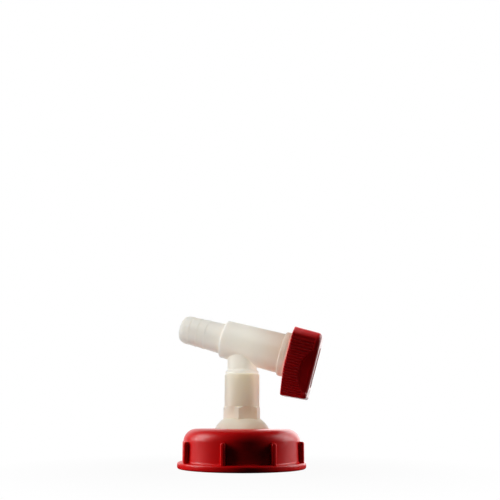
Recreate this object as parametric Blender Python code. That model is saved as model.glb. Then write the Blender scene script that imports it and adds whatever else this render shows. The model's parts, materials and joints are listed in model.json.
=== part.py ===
"""Canister dispensing tap on its union cap: a plug cock with a barbed hose tail and a red lever knob."""
from math import cos, hypot, pi, radians, sin, sqrt, tan

import bmesh
import bpy
from mathutils import Matrix, Vector

# Lengths below are in millimetres and angles in degrees
MM = 0.001

# Clearances
FIT_GAP = 0.3
SWIVEL_GAP = 0.4

# How far cutters reach past what they cut, and joined pieces into each other
CUT_MARGIN = 1.0
UNION_DEPTH = 1.0

# Union cap
CAP_HEIGHT = 21.5
CAP_TOP_WALL = 2.2
CAP_WALL_RADIUS = 32.1
CAP_WALL_DRAFT = 0.4
CAP_WALL = 1.6
CAP_SHOULDER = 7.0
CAP_HOLE_CHAMFER = 0.4
CAP_SEGMENTS = 60
FLANGE_REACH = 3.7
FLANGE_THICKNESS = 3.5
FLANGE_EDGE = 0.8
CAP_RIB_COUNT = 8
CAP_RIB_START = -6.3
CAP_RIB_WIDTH = 2.5
CAP_RIB_EDGE = 0.9
CAP_RIB_INSET = 0.4
CAP_RIB_TOP = 14.8
RETAINING_BEAD = 0.9
RETAINING_BEAD_LAND = 0.6
RETAINING_BEAD_RUN_IN = 1.2

# Neck gasket
GASKET_WIDTH = 8.2
GASKET_THICKNESS = 2.0

# Adapter
ADAPTER_FLANGE_THICKNESS = 2.6
BOSS_RADIUS = 15.1
BOSS_BULGE = 0.55
FLARE_HEIGHT = 4.7
FLARE_STEP = 1.1
FLARE_RUN_OUT = 0.6
HEX_ACROSS_FLATS = 19.0
HEX_START = -29.6
HEX_HEIGHT = 7.7
HEX_CHAMFER = 1.4
HEX_CORE_INSET = 0.4
SOCKET_WALL = 1.75
SOCKET_LENGTH = 17.5
SOCKET_DEPTH = 16.8
SOCKET_EDGE = 0.4
INLET_BORE_RADIUS = 5.6
NECK_SEGMENTS = 44

# Spigot and its seal
SPIGOT_RADIUS = 7.7
SPIGOT_CHAMFER = 0.5
SPIGOT_SEAL_THICKNESS = 1.6
SPIGOT_SEAL_INSET = 0.4
COLLAR_REACH = 1.2
COLLAR_HEIGHT = 2.5
COLLAR_CHAMFER = 0.8
BRANCH_RADIUS = 8.1
BRANCH_LENGTH = 15.1
BRANCH_BORE_RADIUS = 5.2

# Barrel and hose tail; places run along the barrel's axis from the branch's axis towards the knob
BARREL_TILT = 15.0
BARREL_BEHIND = 11.9
BARREL_AHEAD = 27.0
BARREL_START_WALL = 3.1
BARREL_END_WALL = 2.85
BARREL_CHAMFER = 0.8
BEAD_WIDTH = 3.8
BEAD_REACH = 1.35
BEAD_EDGE = 1.0
BEAD_ROOT = 0.3
MOUTH_CHAMFER = 0.5
TAIL_LENGTH = 24.3
TAIL_LIP = 0.8
TAIL_NOSE = 4.0
TAIL_NOSE_RADIUS = 7.95
TAIL_ROOT_RADIUS = 8.65
TAIL_ROOT_RUN = 0.2
TAIL_BORE_RADIUS = 4.5
BARB_COUNT = 3
BARB_INSET = 5.7
BARB_PITCH = 4.8
BARB_STEP = 0.35
BARB_RUN = 0.3

# Plug, its seals and its retaining ring
SEAT_INSET = 3.3
SEAT_START_RADIUS = 7.6
SEAT_END_RADIUS = 8.3
PLUG_WALL = 3.3
PLUG_CHAMFER = 0.3
PLUG_BORE_END = 7.4
PLUG_PORT_RADIUS = 4.3
PLUG_NECK_RADIUS = 5.6
PLUG_STUB_WIDTH = 7.6
PLUG_STUB_LENGTH = 11.0
O_RING_SECTION = 1.6
O_RING_SIDES = 8
TAIL_SEAL_INSET = 2.2
KNOB_SEAL_PLACE = 11.5
RING_THICKNESS = 1.2
RING_SLIT = 3.0
RING_GROOVE_DEPTH = 1.0
RING_INSET = 3.5
SEAL_SEGMENTS = 32

# Lever knob
KNOB_BACK_GAP = 0.3
KNOB_DEPTH = 16.0
KNOB_HALF_WIDTH = 11.0
KNOB_SIDE_DRAFT = 4.3
KNOB_TOP = 16.0
KNOB_TOP_DRAFT = 1.1
KNOB_TOP_CORNER = 6.4
KNOB_LEVER = 22.9
KNOB_LEVER_DRAFT = 5.4
KNOB_LEVER_CORNER = 1.6
KNOB_SWEEP_START = -5.0
KNOB_SWEEP = 2.0
KNOB_EDGE = 1.1
KNOB_WALL = 2.0
KNOB_INNER_CORNER = 0.4
KNOB_FACE = 2.4
KNOB_HUB_WALL = 0.8
KNOB_HUB_SEGMENTS = 40
KNOB_WEB = 1.6
KNOB_WEB_INSET = 3.0
GRIP_PITCH = 1.72
GRIP_TOP_MARGIN = 1.2
GRIP_BOTTOM_MARGIN = 2.0
GRIP_EDGE_MARGIN = 1.2
GRIP_WIDTH = 0.95
GRIP_DEPTH = 0.5
SCOOP_RADIUS = 25.3
SCOOP_REACH = 5.7
SCOOP_CENTRE_HEIGHT = -4.9
SCOOP_SLOPE = 11.0
SCOOP_CUTTER_RISE = 0.6
SCOOP_CUTTER_DEPTH = 2.0
SCOOP_SEGMENTS = 96

# Levels, places and radii that follow from the sizes above
CAP_CEILING = CAP_HEIGHT - CAP_TOP_WALL
FLANGE_RADIUS = CAP_WALL_RADIUS + FLANGE_REACH
THREAD_RADIUS = CAP_WALL_RADIUS - CAP_WALL
ADAPTER_FLANGE_RADIUS = THREAD_RADIUS - RETAINING_BEAD - SWIVEL_GAP
ADAPTER_FLANGE_TOP = CAP_CEILING - FIT_GAP
ADAPTER_FLANGE_BOTTOM = ADAPTER_FLANGE_TOP - ADAPTER_FLANGE_THICKNESS
GASKET_OUTER_RADIUS = THREAD_RADIUS - FIT_GAP
GASKET_INNER_RADIUS = GASKET_OUTER_RADIUS - GASKET_WIDTH
GASKET_TOP = ADAPTER_FLANGE_BOTTOM - FIT_GAP
GASKET_BOTTOM = GASKET_TOP - GASKET_THICKNESS
BEAD_TOP = GASKET_BOTTOM - FIT_GAP
CAP_HOLE_RADIUS = BOSS_RADIUS + SWIVEL_GAP
HEX_BOTTOM = CAP_HEIGHT + FLARE_HEIGHT
HEX_TOP = HEX_BOTTOM + HEX_HEIGHT
HEX_CORNER_RADIUS = HEX_ACROSS_FLATS / 2 / cos(pi / 6)
HEX_CORE_RADIUS = HEX_ACROSS_FLATS / 2 - HEX_CORE_INSET
SOCKET_TOP = HEX_TOP + SOCKET_LENGTH
SOCKET_FLOOR = SOCKET_TOP - SOCKET_DEPTH
SOCKET_BORE_RADIUS = SPIGOT_RADIUS + FIT_GAP
SOCKET_RADIUS = SOCKET_BORE_RADIUS + SOCKET_WALL
SPIGOT_SEAL_BOTTOM = SOCKET_FLOOR + FIT_GAP
SPIGOT_BOTTOM = SPIGOT_SEAL_BOTTOM + SPIGOT_SEAL_THICKNESS + FIT_GAP
COLLAR_RADIUS = BRANCH_RADIUS + COLLAR_REACH
COLLAR_BOTTOM = SOCKET_TOP + FIT_GAP
COLLAR_TOP = COLLAR_BOTTOM + COLLAR_HEIGHT
BARREL_HEIGHT = COLLAR_TOP + BRANCH_LENGTH
BARREL_START = -BARREL_BEHIND
BARREL_START_RADIUS = SEAT_START_RADIUS + BARREL_START_WALL
BARREL_END_RADIUS = SEAT_END_RADIUS + BARREL_END_WALL
MOUTH = BARREL_AHEAD
BEAD_START = MOUTH - BEAD_WIDTH
BEAD_RADIUS = BARREL_END_RADIUS + BEAD_REACH
TAIL_TIP = BARREL_START - TAIL_LENGTH
TAIL_TIP_RADIUS = TAIL_BORE_RADIUS + TAIL_LIP
NOSE_END = TAIL_TIP + TAIL_NOSE
SEAT_START = BARREL_START + SEAT_INSET
TAIL_SEAL_PLACE = SEAT_START + TAIL_SEAL_INSET
PLUG_BORE_RADIUS = SEAT_START_RADIUS - PLUG_WALL
PLUG_STUB_START = MOUTH + FIT_GAP
RING_PLACE = MOUTH - RING_INSET
RING_GROOVE_RADIUS = SEAT_END_RADIUS + RING_GROOVE_DEPTH
RING_GROOVE_START = RING_PLACE - FIT_GAP
RING_GROOVE_END = RING_PLACE + RING_THICKNESS + FIT_GAP
KNOB_BACK = MOUTH + KNOB_BACK_GAP
KNOB_FRONT = KNOB_BACK + KNOB_DEPTH
KNOB_SOCKET_HALF = PLUG_STUB_WIDTH / 2 + FIT_GAP
KNOB_HUB_RADIUS = KNOB_SOCKET_HALF * sqrt(2) + KNOB_HUB_WALL
GRIP_TOP = KNOB_TOP - KNOB_TOP_CORNER - GRIP_TOP_MARGIN
GRIP_COUNT = 1 + int((GRIP_TOP + KNOB_LEVER - GRIP_BOTTOM_MARGIN) / GRIP_PITCH)


def barrel_frame():
    """Place of the barrel: its length runs along local Z, from the branch's axis towards the knob."""
    turn = Matrix.Rotation(radians(90 + BARREL_TILT), 4, "Y")
    return Matrix.Translation(Vector((0, 0, BARREL_HEIGHT * MM))) @ turn


def material(name, colour, roughness):
    made = bpy.data.materials.new(name)
    made.use_nodes = True
    shader = made.node_tree.nodes["Principled BSDF"]
    shader.inputs["Base Color"].default_value = (*colour, 1.0)
    shader.inputs["Roughness"].default_value = roughness
    shader.inputs["Metallic"].default_value = 0.0
    made.diffuse_color = (*colour, 1.0)
    return made


def add_object(name, mesh_data, finish=None):
    mesh = bpy.data.meshes.new(name)
    bmesh.ops.recalc_face_normals(mesh_data, faces=mesh_data.faces)
    mesh_data.to_mesh(mesh)
    mesh_data.free()
    mesh.shade_smooth()
    mesh.set_sharp_from_angle(angle=radians(35))
    made = bpy.data.objects.new(name, mesh)
    bpy.context.scene.collection.objects.link(made)
    if finish:
        mesh.materials.append(finish)
    return made


def arc(centre, radius, start, end, steps):
    """Points of an arc in a (radius, height) outline; radius may be a pair for an elliptical one."""
    across, along = radius if isinstance(radius, tuple) else (radius, radius)
    angles = [radians(start + (end - start) * k / steps) for k in range(steps + 1)]
    return [(centre[0] + across * cos(a), centre[1] + along * sin(a)) for a in angles]


def turned_mesh(outline, segments):
    """Closed ring mesh: a closed (radius, height) outline in millimetres spun once round Z."""
    made = bmesh.new()
    corners = [made.verts.new((r * MM, 0, z * MM)) for r, z in outline]
    edges = [made.edges.new((a, b)) for a, b in zip(corners, corners[1:] + corners[:1])]
    bmesh.ops.spin(made, geom=corners + edges, cent=(0, 0, 0), axis=(0, 0, 1), angle=2 * pi,
                   steps=segments, use_merge=True)
    bmesh.ops.remove_doubles(made, verts=made.verts, dist=1e-6)
    flat = [e for e in made.edges if e.calc_length() < 1e-6]
    bmesh.ops.dissolve_degenerate(made, dist=1e-7, edges=flat)
    return made


def turned(name, outline, segments, finish=None):
    return add_object(name, turned_mesh(outline, segments), finish)


def ring_outline(inner, outer, bottom, top):
    return [(inner, bottom), (outer, bottom), (outer, top), (inner, top)]


def prism(bottom_points, top_points):
    """Closed mesh between two loops of as many points, given in millimetres."""
    made = bmesh.new()
    low = [made.verts.new(Vector(p) * MM) for p in bottom_points]
    high = [made.verts.new(Vector(p) * MM) for p in top_points]
    made.faces.new(list(reversed(low)))
    made.faces.new(high)
    count = len(low)
    for k in range(count):
        nxt = (k + 1) % count
        made.faces.new((low[k], low[nxt], high[nxt], high[k]))
    return made


def block_mesh(low, high):
    (x0, y0, z0), (x1, y1, z1) = low, high
    base = [(x0, y0), (x1, y0), (x1, y1), (x0, y1)]
    return prism([(x, y, z0) for x, y in base], [(x, y, z1) for x, y in base])


def joined(parts):
    """One mesh that holds several separate bodies."""
    whole = bmesh.new()
    for part in parts:
        scratch = bpy.data.meshes.new("scratch")
        part.to_mesh(scratch)
        part.free()
        whole.from_mesh(scratch)
        bpy.data.meshes.remove(scratch)
    return whole


def combine(target, tool, operation):
    """Boolean modifier on the target; the tool stays as a hidden wire guide."""
    modifier = target.modifiers.new(tool.name, "BOOLEAN")
    modifier.operation = operation
    modifier.object = tool
    modifier.solver = "EXACT"
    tool.hide_render = True
    tool.display_type = "WIRE"


def seat(made, matrix):
    """Put a piece that was modelled along its own Z into the barrel's place."""
    made.matrix_world = matrix
    return made


def screw_cap(red):
    """Union cap: domed shoulder, hole for the adapter, grip ribs on a bottom flange, washer bead."""
    foot_radius = CAP_WALL_RADIUS + CAP_WALL_DRAFT
    outline = [(THREAD_RADIUS, 0.0)]
    outline += arc((FLANGE_RADIUS - FLANGE_EDGE, FLANGE_EDGE), FLANGE_EDGE, -90, 0, 2)
    outline += arc((FLANGE_RADIUS - FLANGE_EDGE, FLANGE_THICKNESS - FLANGE_EDGE), FLANGE_EDGE, 0, 90, 2)
    outline += [(foot_radius, FLANGE_THICKNESS)]
    shoulder = (CAP_WALL_RADIUS - CAP_SHOULDER, CAP_HEIGHT - CAP_SHOULDER)
    outline += arc(shoulder, CAP_SHOULDER, 0, 90, 7)
    outline += [(CAP_HOLE_RADIUS + CAP_HOLE_CHAMFER, CAP_HEIGHT)]
    outline += [(CAP_HOLE_RADIUS, CAP_HEIGHT - CAP_HOLE_CHAMFER), (CAP_HOLE_RADIUS, CAP_CEILING)]
    corner = ADAPTER_FLANGE_RADIUS + SWIVEL_GAP
    outline += [(corner, CAP_CEILING), (corner, ADAPTER_FLANGE_BOTTOM)]
    outline += [(THREAD_RADIUS, GASKET_TOP), (THREAD_RADIUS, GASKET_BOTTOM)]
    bead_radius = THREAD_RADIUS - RETAINING_BEAD
    bead_foot = BEAD_TOP - RETAINING_BEAD_LAND
    outline += [(bead_radius, BEAD_TOP), (bead_radius, bead_foot)]
    outline += [(THREAD_RADIUS, bead_foot - RETAINING_BEAD_RUN_IN)]
    cap = turned("screw_cap", outline, CAP_SEGMENTS, red)
    ribs = joined([cap_rib(CAP_RIB_START + k * 360 / CAP_RIB_COUNT) for k in range(CAP_RIB_COUNT)])
    combine(cap, add_object("cap_rib_guide", ribs), "UNION")
    return cap


def cap_rib(angle):
    """Upright grip rib with rounded outer and top edges, its back sunk in the wall."""
    half = CAP_RIB_WIDTH / 2
    outer = FLANGE_RADIUS - CAP_RIB_INSET
    back = CAP_WALL_RADIUS - CAP_WALL / 2
    made = block_mesh((back, -half, FLANGE_THICKNESS / 2), (outer, half, CAP_RIB_TOP))
    on_rim = {v for v in made.verts if v.co.x > (outer - FIT_GAP) * MM}
    on_top = {v for v in made.verts if v.co.z > (CAP_RIB_TOP - FIT_GAP) * MM}
    edges = [e for e in made.edges
             if (on_rim.issuperset(e.verts) and on_top.intersection(e.verts))
             or (on_top.issuperset(e.verts) and on_rim.intersection(e.verts))]
    bmesh.ops.bevel(made, geom=edges, offset=CAP_RIB_EDGE * MM, segments=3, profile=0.5, affect="EDGES")
    turn = Matrix.Rotation(radians(angle), 3, "Z")
    bmesh.ops.rotate(made, verts=made.verts, cent=(0, 0, 0), matrix=turn)
    return made


def neck_gasket(foam):
    outline = ring_outline(GASKET_INNER_RADIUS, GASKET_OUTER_RADIUS, GASKET_BOTTOM, GASKET_TOP)
    return turned("neck_gasket", outline, CAP_SEGMENTS, foam)


def adapter(white):
    """Nipple: flange, flared boss, chamfered hexagon, round socket, stepped bore."""
    start = (BOSS_RADIUS, CAP_HEIGHT - FIT_GAP)
    end = (HEX_ACROSS_FLATS / 2 + FLARE_STEP, HEX_BOTTOM + FLARE_RUN_OUT)
    body = [(INLET_BORE_RADIUS, ADAPTER_FLANGE_BOTTOM), (ADAPTER_FLANGE_RADIUS, ADAPTER_FLANGE_BOTTOM)]
    body += [(ADAPTER_FLANGE_RADIUS, ADAPTER_FLANGE_TOP), (BOSS_RADIUS, ADAPTER_FLANGE_TOP)]
    body += bulged_line(start, end, BOSS_BULGE, 6)
    body += [(HEX_CORE_RADIUS, HEX_BOTTOM + FLARE_STEP), (HEX_CORE_RADIUS, HEX_TOP - HEX_CHAMFER)]
    body += [(SOCKET_RADIUS, HEX_TOP - HEX_CORE_INSET / 2), (SOCKET_RADIUS, SOCKET_TOP - SOCKET_EDGE)]
    body += [(SOCKET_RADIUS - SOCKET_EDGE, SOCKET_TOP)]
    body += [(SOCKET_BORE_RADIUS, SOCKET_TOP), (SOCKET_BORE_RADIUS, SOCKET_FLOOR)]
    body += [(INLET_BORE_RADIUS, SOCKET_FLOOR)]
    made = turned("adapter", body, NECK_SEGMENTS, white)
    combine(made, hexagon(), "UNION")
    return made


def bulged_line(start, end, bulge, steps):
    """Outline points from start to end on a shallow arc that swells outward by the bulge."""
    length = hypot(end[0] - start[0], end[1] - start[1])
    out = ((end[1] - start[1]) / length, (start[0] - end[0]) / length)
    points = []
    for k in range(steps + 1):
        t = k / steps
        swell = 4 * bulge * t * (1 - t)
        points.append((start[0] + (end[0] - start[0]) * t + out[0] * swell,
                       start[1] + (end[1] - start[1]) * t + out[1] * swell))
    return points


def hexagon():
    """Spanner hexagon with its top corners turned off, hollow so that it leaves the bore clear."""
    turns = [radians(HEX_START) + k * pi / 3 for k in range(6)]
    loop = [(HEX_CORNER_RADIUS * cos(turn), HEX_CORNER_RADIUS * sin(turn)) for turn in turns]
    solid = add_object("hexagon_guide", prism([(x, y, HEX_BOTTOM) for x, y in loop],
                                              [(x, y, HEX_TOP) for x, y in loop]))
    low = HEX_BOTTOM - CUT_MARGIN
    inside = INLET_BORE_RADIUS + UNION_DEPTH
    outside = HEX_CORNER_RADIUS + HEX_CORE_INSET / 2
    high = HEX_TOP - HEX_CORE_INSET / 4
    turning = [(inside, low), (outside, low), (outside, HEX_TOP - HEX_CHAMFER),
               (SOCKET_RADIUS + HEX_CORE_INSET / 4, high), (inside, high)]
    combine(solid, turned("hexagon_turning_guide", turning, NECK_SEGMENTS), "INTERSECT")
    return solid


def spigot_seal(rubber):
    outline = ring_outline(BRANCH_BORE_RADIUS + SPIGOT_SEAL_INSET, SPIGOT_RADIUS,
                           SPIGOT_SEAL_BOTTOM, SPIGOT_SEAL_BOTTOM + SPIGOT_SEAL_THICKNESS)
    return turned("spigot_seal", outline, NECK_SEGMENTS, rubber)


def barrel_radius(place):
    """Outer radius of the tapered barrel at a place along it."""
    share = (place - BARREL_START) / (BEAD_START - BARREL_START)
    return BARREL_START_RADIUS + (BARREL_END_RADIUS - BARREL_START_RADIUS) * share


def seat_radius(place):
    """Radius of the tapered seat that the plug turns in."""
    share = (place - SEAT_START) / (MOUTH - SEAT_START)
    return SEAT_START_RADIUS + (SEAT_END_RADIUS - SEAT_START_RADIUS) * share


def tail_radius(place):
    """Outer radius of the plain hose tail between its nose and the barrel."""
    share = (place - NOSE_END) / (BARREL_START - NOSE_END)
    return TAIL_NOSE_RADIUS + (TAIL_ROOT_RADIUS - TAIL_NOSE_RADIUS) * share


def barrel_outline():
    """Outer outline of hose tail and barrel, from the tail's tip to the barrel's mouth."""
    points = [(TAIL_TIP_RADIUS, TAIL_TIP)]
    points += arc((TAIL_TIP_RADIUS, NOSE_END), (TAIL_NOSE_RADIUS - TAIL_TIP_RADIUS, TAIL_NOSE), -75, 0, 5)
    for k in range(BARB_COUNT):
        peak = TAIL_TIP + BARB_INSET + k * BARB_PITCH
        points.append((tail_radius(peak) + BARB_STEP / 2, peak))
        points.append((tail_radius(peak) - BARB_STEP / 2, peak + BARB_RUN))
    points.append((TAIL_ROOT_RADIUS, BARREL_START - TAIL_ROOT_RUN))
    points.append((BARREL_START_RADIUS - BARREL_CHAMFER / 2, BARREL_START))
    points.append((BARREL_START_RADIUS, BARREL_START + BARREL_CHAMFER))
    points.append((barrel_radius(BEAD_START), BEAD_START - BEAD_ROOT))
    points += arc((BEAD_RADIUS - BEAD_EDGE, BEAD_START + BEAD_EDGE), BEAD_EDGE, -70, 0, 3)
    points += arc((BEAD_RADIUS - BEAD_EDGE, MOUTH - BEAD_EDGE), BEAD_EDGE, 0, 90, 4)
    return points


def barrel_bore_outline():
    """Outline of all that is bored out of the barrel: mouth, ring groove, tapered seat, tail bore."""
    behind = TAIL_TIP - CUT_MARGIN
    ahead = MOUTH + MOUTH_CHAMFER
    return [(0.0, behind), (TAIL_BORE_RADIUS, behind), (TAIL_BORE_RADIUS, SEAT_START),
            (SEAT_START_RADIUS, SEAT_START), (seat_radius(RING_GROOVE_START), RING_GROOVE_START),
            (RING_GROOVE_RADIUS, RING_GROOVE_START), (RING_GROOVE_RADIUS, RING_GROOVE_END),
            (seat_radius(RING_GROOVE_END), RING_GROOVE_END), (SEAT_END_RADIUS, MOUTH - MOUTH_CHAMFER),
            (SEAT_END_RADIUS + 2 * MOUTH_CHAMFER, ahead), (0.0, ahead)]


def branch_outline():
    """Outer outline of the upright branch above its spigot's end: spigot, collar, tube."""
    collar_bottom = COLLAR_BOTTOM - SPIGOT_BOTTOM
    collar_top = COLLAR_TOP - SPIGOT_BOTTOM
    inside = BARREL_HEIGHT - SPIGOT_BOTTOM - UNION_DEPTH
    return [(0.0, 0.0), (SPIGOT_RADIUS - SPIGOT_CHAMFER, 0.0), (SPIGOT_RADIUS, SPIGOT_CHAMFER),
            (SPIGOT_RADIUS, collar_bottom), (COLLAR_RADIUS, collar_bottom),
            (COLLAR_RADIUS, collar_top - COLLAR_CHAMFER), (COLLAR_RADIUS - COLLAR_CHAMFER, collar_top),
            (BRANCH_RADIUS, collar_top), (BRANCH_RADIUS, inside), (0.0, inside)]


def tap_body(white):
    """T body: tilted barrel with hose tail, upright branch with collar and spigot, both bored."""
    solid = [(0.0, TAIL_TIP)] + barrel_outline() + [(0.0, MOUTH)]
    made = seat(solid_turned("tap_body", solid, NECK_SEGMENTS, white), barrel_frame())
    upright = Matrix.Translation(Vector((0, 0, SPIGOT_BOTTOM * MM)))
    branch = solid_turned("branch_guide", branch_outline(), NECK_SEGMENTS)
    combine(made, seat(branch, upright), "UNION")
    bore = solid_turned("barrel_bore_guide", barrel_bore_outline(), NECK_SEGMENTS)
    combine(made, seat(bore, barrel_frame()), "DIFFERENCE")
    inlet = ring_outline(0.0, BRANCH_BORE_RADIUS, -CUT_MARGIN, BARREL_HEIGHT - SPIGOT_BOTTOM)
    combine(made, seat(solid_turned("branch_bore_guide", inlet, NECK_SEGMENTS), upright), "DIFFERENCE")
    return made


def solid_turned(name, outline, segments, finish=None):
    """Solid of revolution whose (radius, height) outline starts and ends on the axis."""
    made = bmesh.new()
    corners = [made.verts.new((r * MM, 0, z * MM)) for r, z in outline]
    edges = [made.edges.new((a, b)) for a, b in zip(corners, corners[1:])]
    bmesh.ops.spin(made, geom=corners + edges, cent=(0, 0, 0), axis=(0, 0, 1), angle=2 * pi,
                   steps=segments, use_merge=True)
    bmesh.ops.remove_doubles(made, verts=made.verts, dist=1e-6)
    return add_object(name, made, finish)


def tap_plug(white):
    """Hollow rotary plug: seal grooves, neck for the retaining ring, square stub, side port."""
    def surface(place):
        return seat_radius(place) - FIT_GAP

    front = SEAT_START + FIT_GAP
    outline = [(PLUG_BORE_RADIUS, front), (surface(front) - PLUG_CHAMFER, front)]
    outline += [(surface(front), front + PLUG_CHAMFER)]
    groove = O_RING_SECTION / 2 + FIT_GAP
    for place in (TAIL_SEAL_PLACE, KNOB_SEAL_PLACE):
        floor = seal_centre(place) - groove
        outline += [(surface(place - groove), place - groove), (floor, place - groove)]
        outline += [(floor, place + groove), (surface(place + groove), place + groove)]
    outline += [(surface(RING_GROOVE_START), RING_GROOVE_START), (PLUG_NECK_RADIUS, RING_GROOVE_START)]
    outline += [(PLUG_NECK_RADIUS, PLUG_STUB_START), (0.0, PLUG_STUB_START), (0.0, PLUG_BORE_END)]
    outline += [(PLUG_BORE_RADIUS, PLUG_BORE_END)]
    plug = seat(turned("tap_plug", outline, NECK_SEGMENTS, white), barrel_frame())
    half = PLUG_STUB_WIDTH / 2
    stub = add_object("stub_guide", block_mesh((-half, -half, PLUG_STUB_START - UNION_DEPTH),
                                               (half, half, PLUG_STUB_START + PLUG_STUB_LENGTH)))
    combine(plug, seat(stub, barrel_frame()), "UNION")
    drill = ring_outline(0.0, PLUG_PORT_RADIUS, 0.0, SEAT_END_RADIUS + CUT_MARGIN)
    port = solid_turned("port_guide", drill, SEAL_SEGMENTS)
    sideways = Matrix.Rotation(radians(90), 4, "X")
    combine(plug, seat(port, barrel_frame() @ sideways), "DIFFERENCE")
    return plug


def seal_centre(place):
    """Radius of an O-ring's centre line where it runs in the tapered seat."""
    return seat_radius(place) - FIT_GAP - O_RING_SECTION / 2


def plug_seal(name, place, rubber):
    last = 360 - 360 / O_RING_SIDES
    outline = arc((seal_centre(place), place), O_RING_SECTION / 2, 0, last, O_RING_SIDES - 1)
    return seat(turned(name, outline, SEAL_SEGMENTS, rubber), barrel_frame())


def retaining_ring(spring_plastic):
    """Split snap ring between the barrel's groove and the plug's neck."""
    outline = ring_outline(PLUG_NECK_RADIUS + FIT_GAP, RING_GROOVE_RADIUS - FIT_GAP,
                           RING_PLACE, RING_PLACE + RING_THICKNESS)
    ring = seat(turned("retaining_ring", outline, NECK_SEGMENTS, spring_plastic), barrel_frame())
    half = RING_SLIT / 2
    ahead = RING_PLACE + RING_THICKNESS + CUT_MARGIN
    slit = add_object("slit_guide", block_mesh((0, -half, RING_PLACE - CUT_MARGIN),
                                               (RING_GROOVE_RADIUS, half, ahead)))
    combine(ring, seat(slit, barrel_frame()), "DIFFERENCE")
    return ring


def knob_ring(place_of, inset):
    """Loop of points round the knob at a depth that may vary with height; inset shrinks the loop.

    Local X runs along the barrel's axis, local Y across the knob and local Z up towards its round top.
    """
    return [drafted(height, across, place_of(height)) for height, across in knob_section(inset)]


def knob_section(inset):
    """(height, across) outline of the knob at its back, round from the lever's end."""
    half = KNOB_HALF_WIDTH - inset
    top = KNOB_TOP - inset
    low = -KNOB_LEVER + inset
    top_corner = max(KNOB_TOP_CORNER - inset, KNOB_INNER_CORNER)
    low_corner = max(KNOB_LEVER_CORNER - inset, KNOB_INNER_CORNER)
    loop = arc((low + low_corner, half - low_corner), low_corner, 180, 90, 3)
    loop += spread((low + low_corner, half), (top - top_corner, half), 8)
    loop += arc((top - top_corner, half - top_corner), top_corner, 90, 0, 6)
    loop += arc((top - top_corner, -half + top_corner), top_corner, 0, -90, 6)
    loop += spread((top - top_corner, -half), (low + low_corner, -half), 8)
    loop += arc((low + low_corner, -half + low_corner), low_corner, -90, -180, 3)
    return loop


def spread(start, end, steps):
    """Points between start and end, both left out."""
    return [(start[0] + (end[0] - start[0]) * k / steps, start[1] + (end[1] - start[1]) * k / steps)
            for k in range(1, steps)]


def drafted(height, across, place):
    """Draw an outline point in with the moulding draft, by its distance in front of the knob's back."""
    ahead = place - KNOB_BACK
    width_share = 1 - ahead * tan(radians(KNOB_SIDE_DRAFT)) / KNOB_HALF_WIDTH
    if height > 0:
        height_share = 1 - ahead * tan(radians(KNOB_TOP_DRAFT)) / KNOB_TOP
    else:
        height_share = 1 - ahead * tan(radians(KNOB_LEVER_DRAFT)) / KNOB_LEVER
    return (place, across * width_share, height * height_share)


def knob_back(height):
    """Depth of the knob's back rim: it sweeps forward towards the lever's end."""
    share = max(0.0, (KNOB_SWEEP_START - height) / (KNOB_LEVER + KNOB_SWEEP_START))
    return KNOB_BACK + KNOB_SWEEP * min(share, 1.0) ** 1.5


def loft(rings, closed_start):
    """Mesh over successive loops of points; the last loop is filled, the first one if asked."""
    made = bmesh.new()
    rows = [[made.verts.new(Vector(p) * MM) for p in ring] for ring in rings]
    count = len(rows[0])
    for low, high in zip(rows, rows[1:]):
        for k in range(count):
            nxt = (k + 1) % count
            made.faces.new((low[k], low[nxt], high[nxt], high[k]))
    made.faces.new(rows[-1])
    if closed_start:
        made.faces.new(list(reversed(rows[0])))
    return made


def knob(red):
    """Hollow lever knob: drafted shell, hub on the plug's stub, stiffening webs, grip, finger scoops."""
    rings = [knob_ring(knob_back, 0.0)]
    rings.append(knob_ring(lambda height: KNOB_FRONT - KNOB_EDGE, 0.0))
    for angle in (30, 60, 90):
        ahead = KNOB_EDGE * sin(radians(angle))
        inset = KNOB_EDGE * (1 - cos(radians(angle)))
        rings.append(knob_ring(lambda height, a=ahead: KNOB_FRONT - KNOB_EDGE + a, inset))
    made = add_object("knob", loft(rings, True), red)
    inner = [knob_ring(lambda height: KNOB_BACK - CUT_MARGIN, KNOB_WALL),
             knob_ring(lambda height: KNOB_FRONT - KNOB_FACE, KNOB_WALL)]
    hollow = add_object("knob_hollow_guide", loft(inner, True))
    combine(made, hollow, "DIFFERENCE")
    combine(made, knob_core(), "UNION")
    half = KNOB_SOCKET_HALF
    depth = PLUG_STUB_START + PLUG_STUB_LENGTH + FIT_GAP
    socket = add_object("knob_socket_guide", block_mesh((MOUTH - CUT_MARGIN, -half, -half),
                                                        (depth, half, half)))
    combine(made, socket, "DIFFERENCE")
    for side in (-1, 1):
        combine(made, grip_cutter(side), "DIFFERENCE")
        combine(made, scoop_cutter(side), "DIFFERENCE")
    seat_with_guides(made, knob_frame())
    return made


def knob_frame():
    """Place of the knob: local X runs along the barrel's axis and local Z up the knob."""
    turn = Matrix.Rotation(radians(BARREL_TILT), 4, "Y")
    return Matrix.Translation(Vector((0, 0, BARREL_HEIGHT * MM))) @ turn


def seat_with_guides(made, matrix):
    """Put a piece in place with the guides that shape it, and with the guides that shape those."""
    made.matrix_world = matrix
    for modifier in made.modifiers:
        seat_with_guides(modifier.object, matrix)


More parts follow.
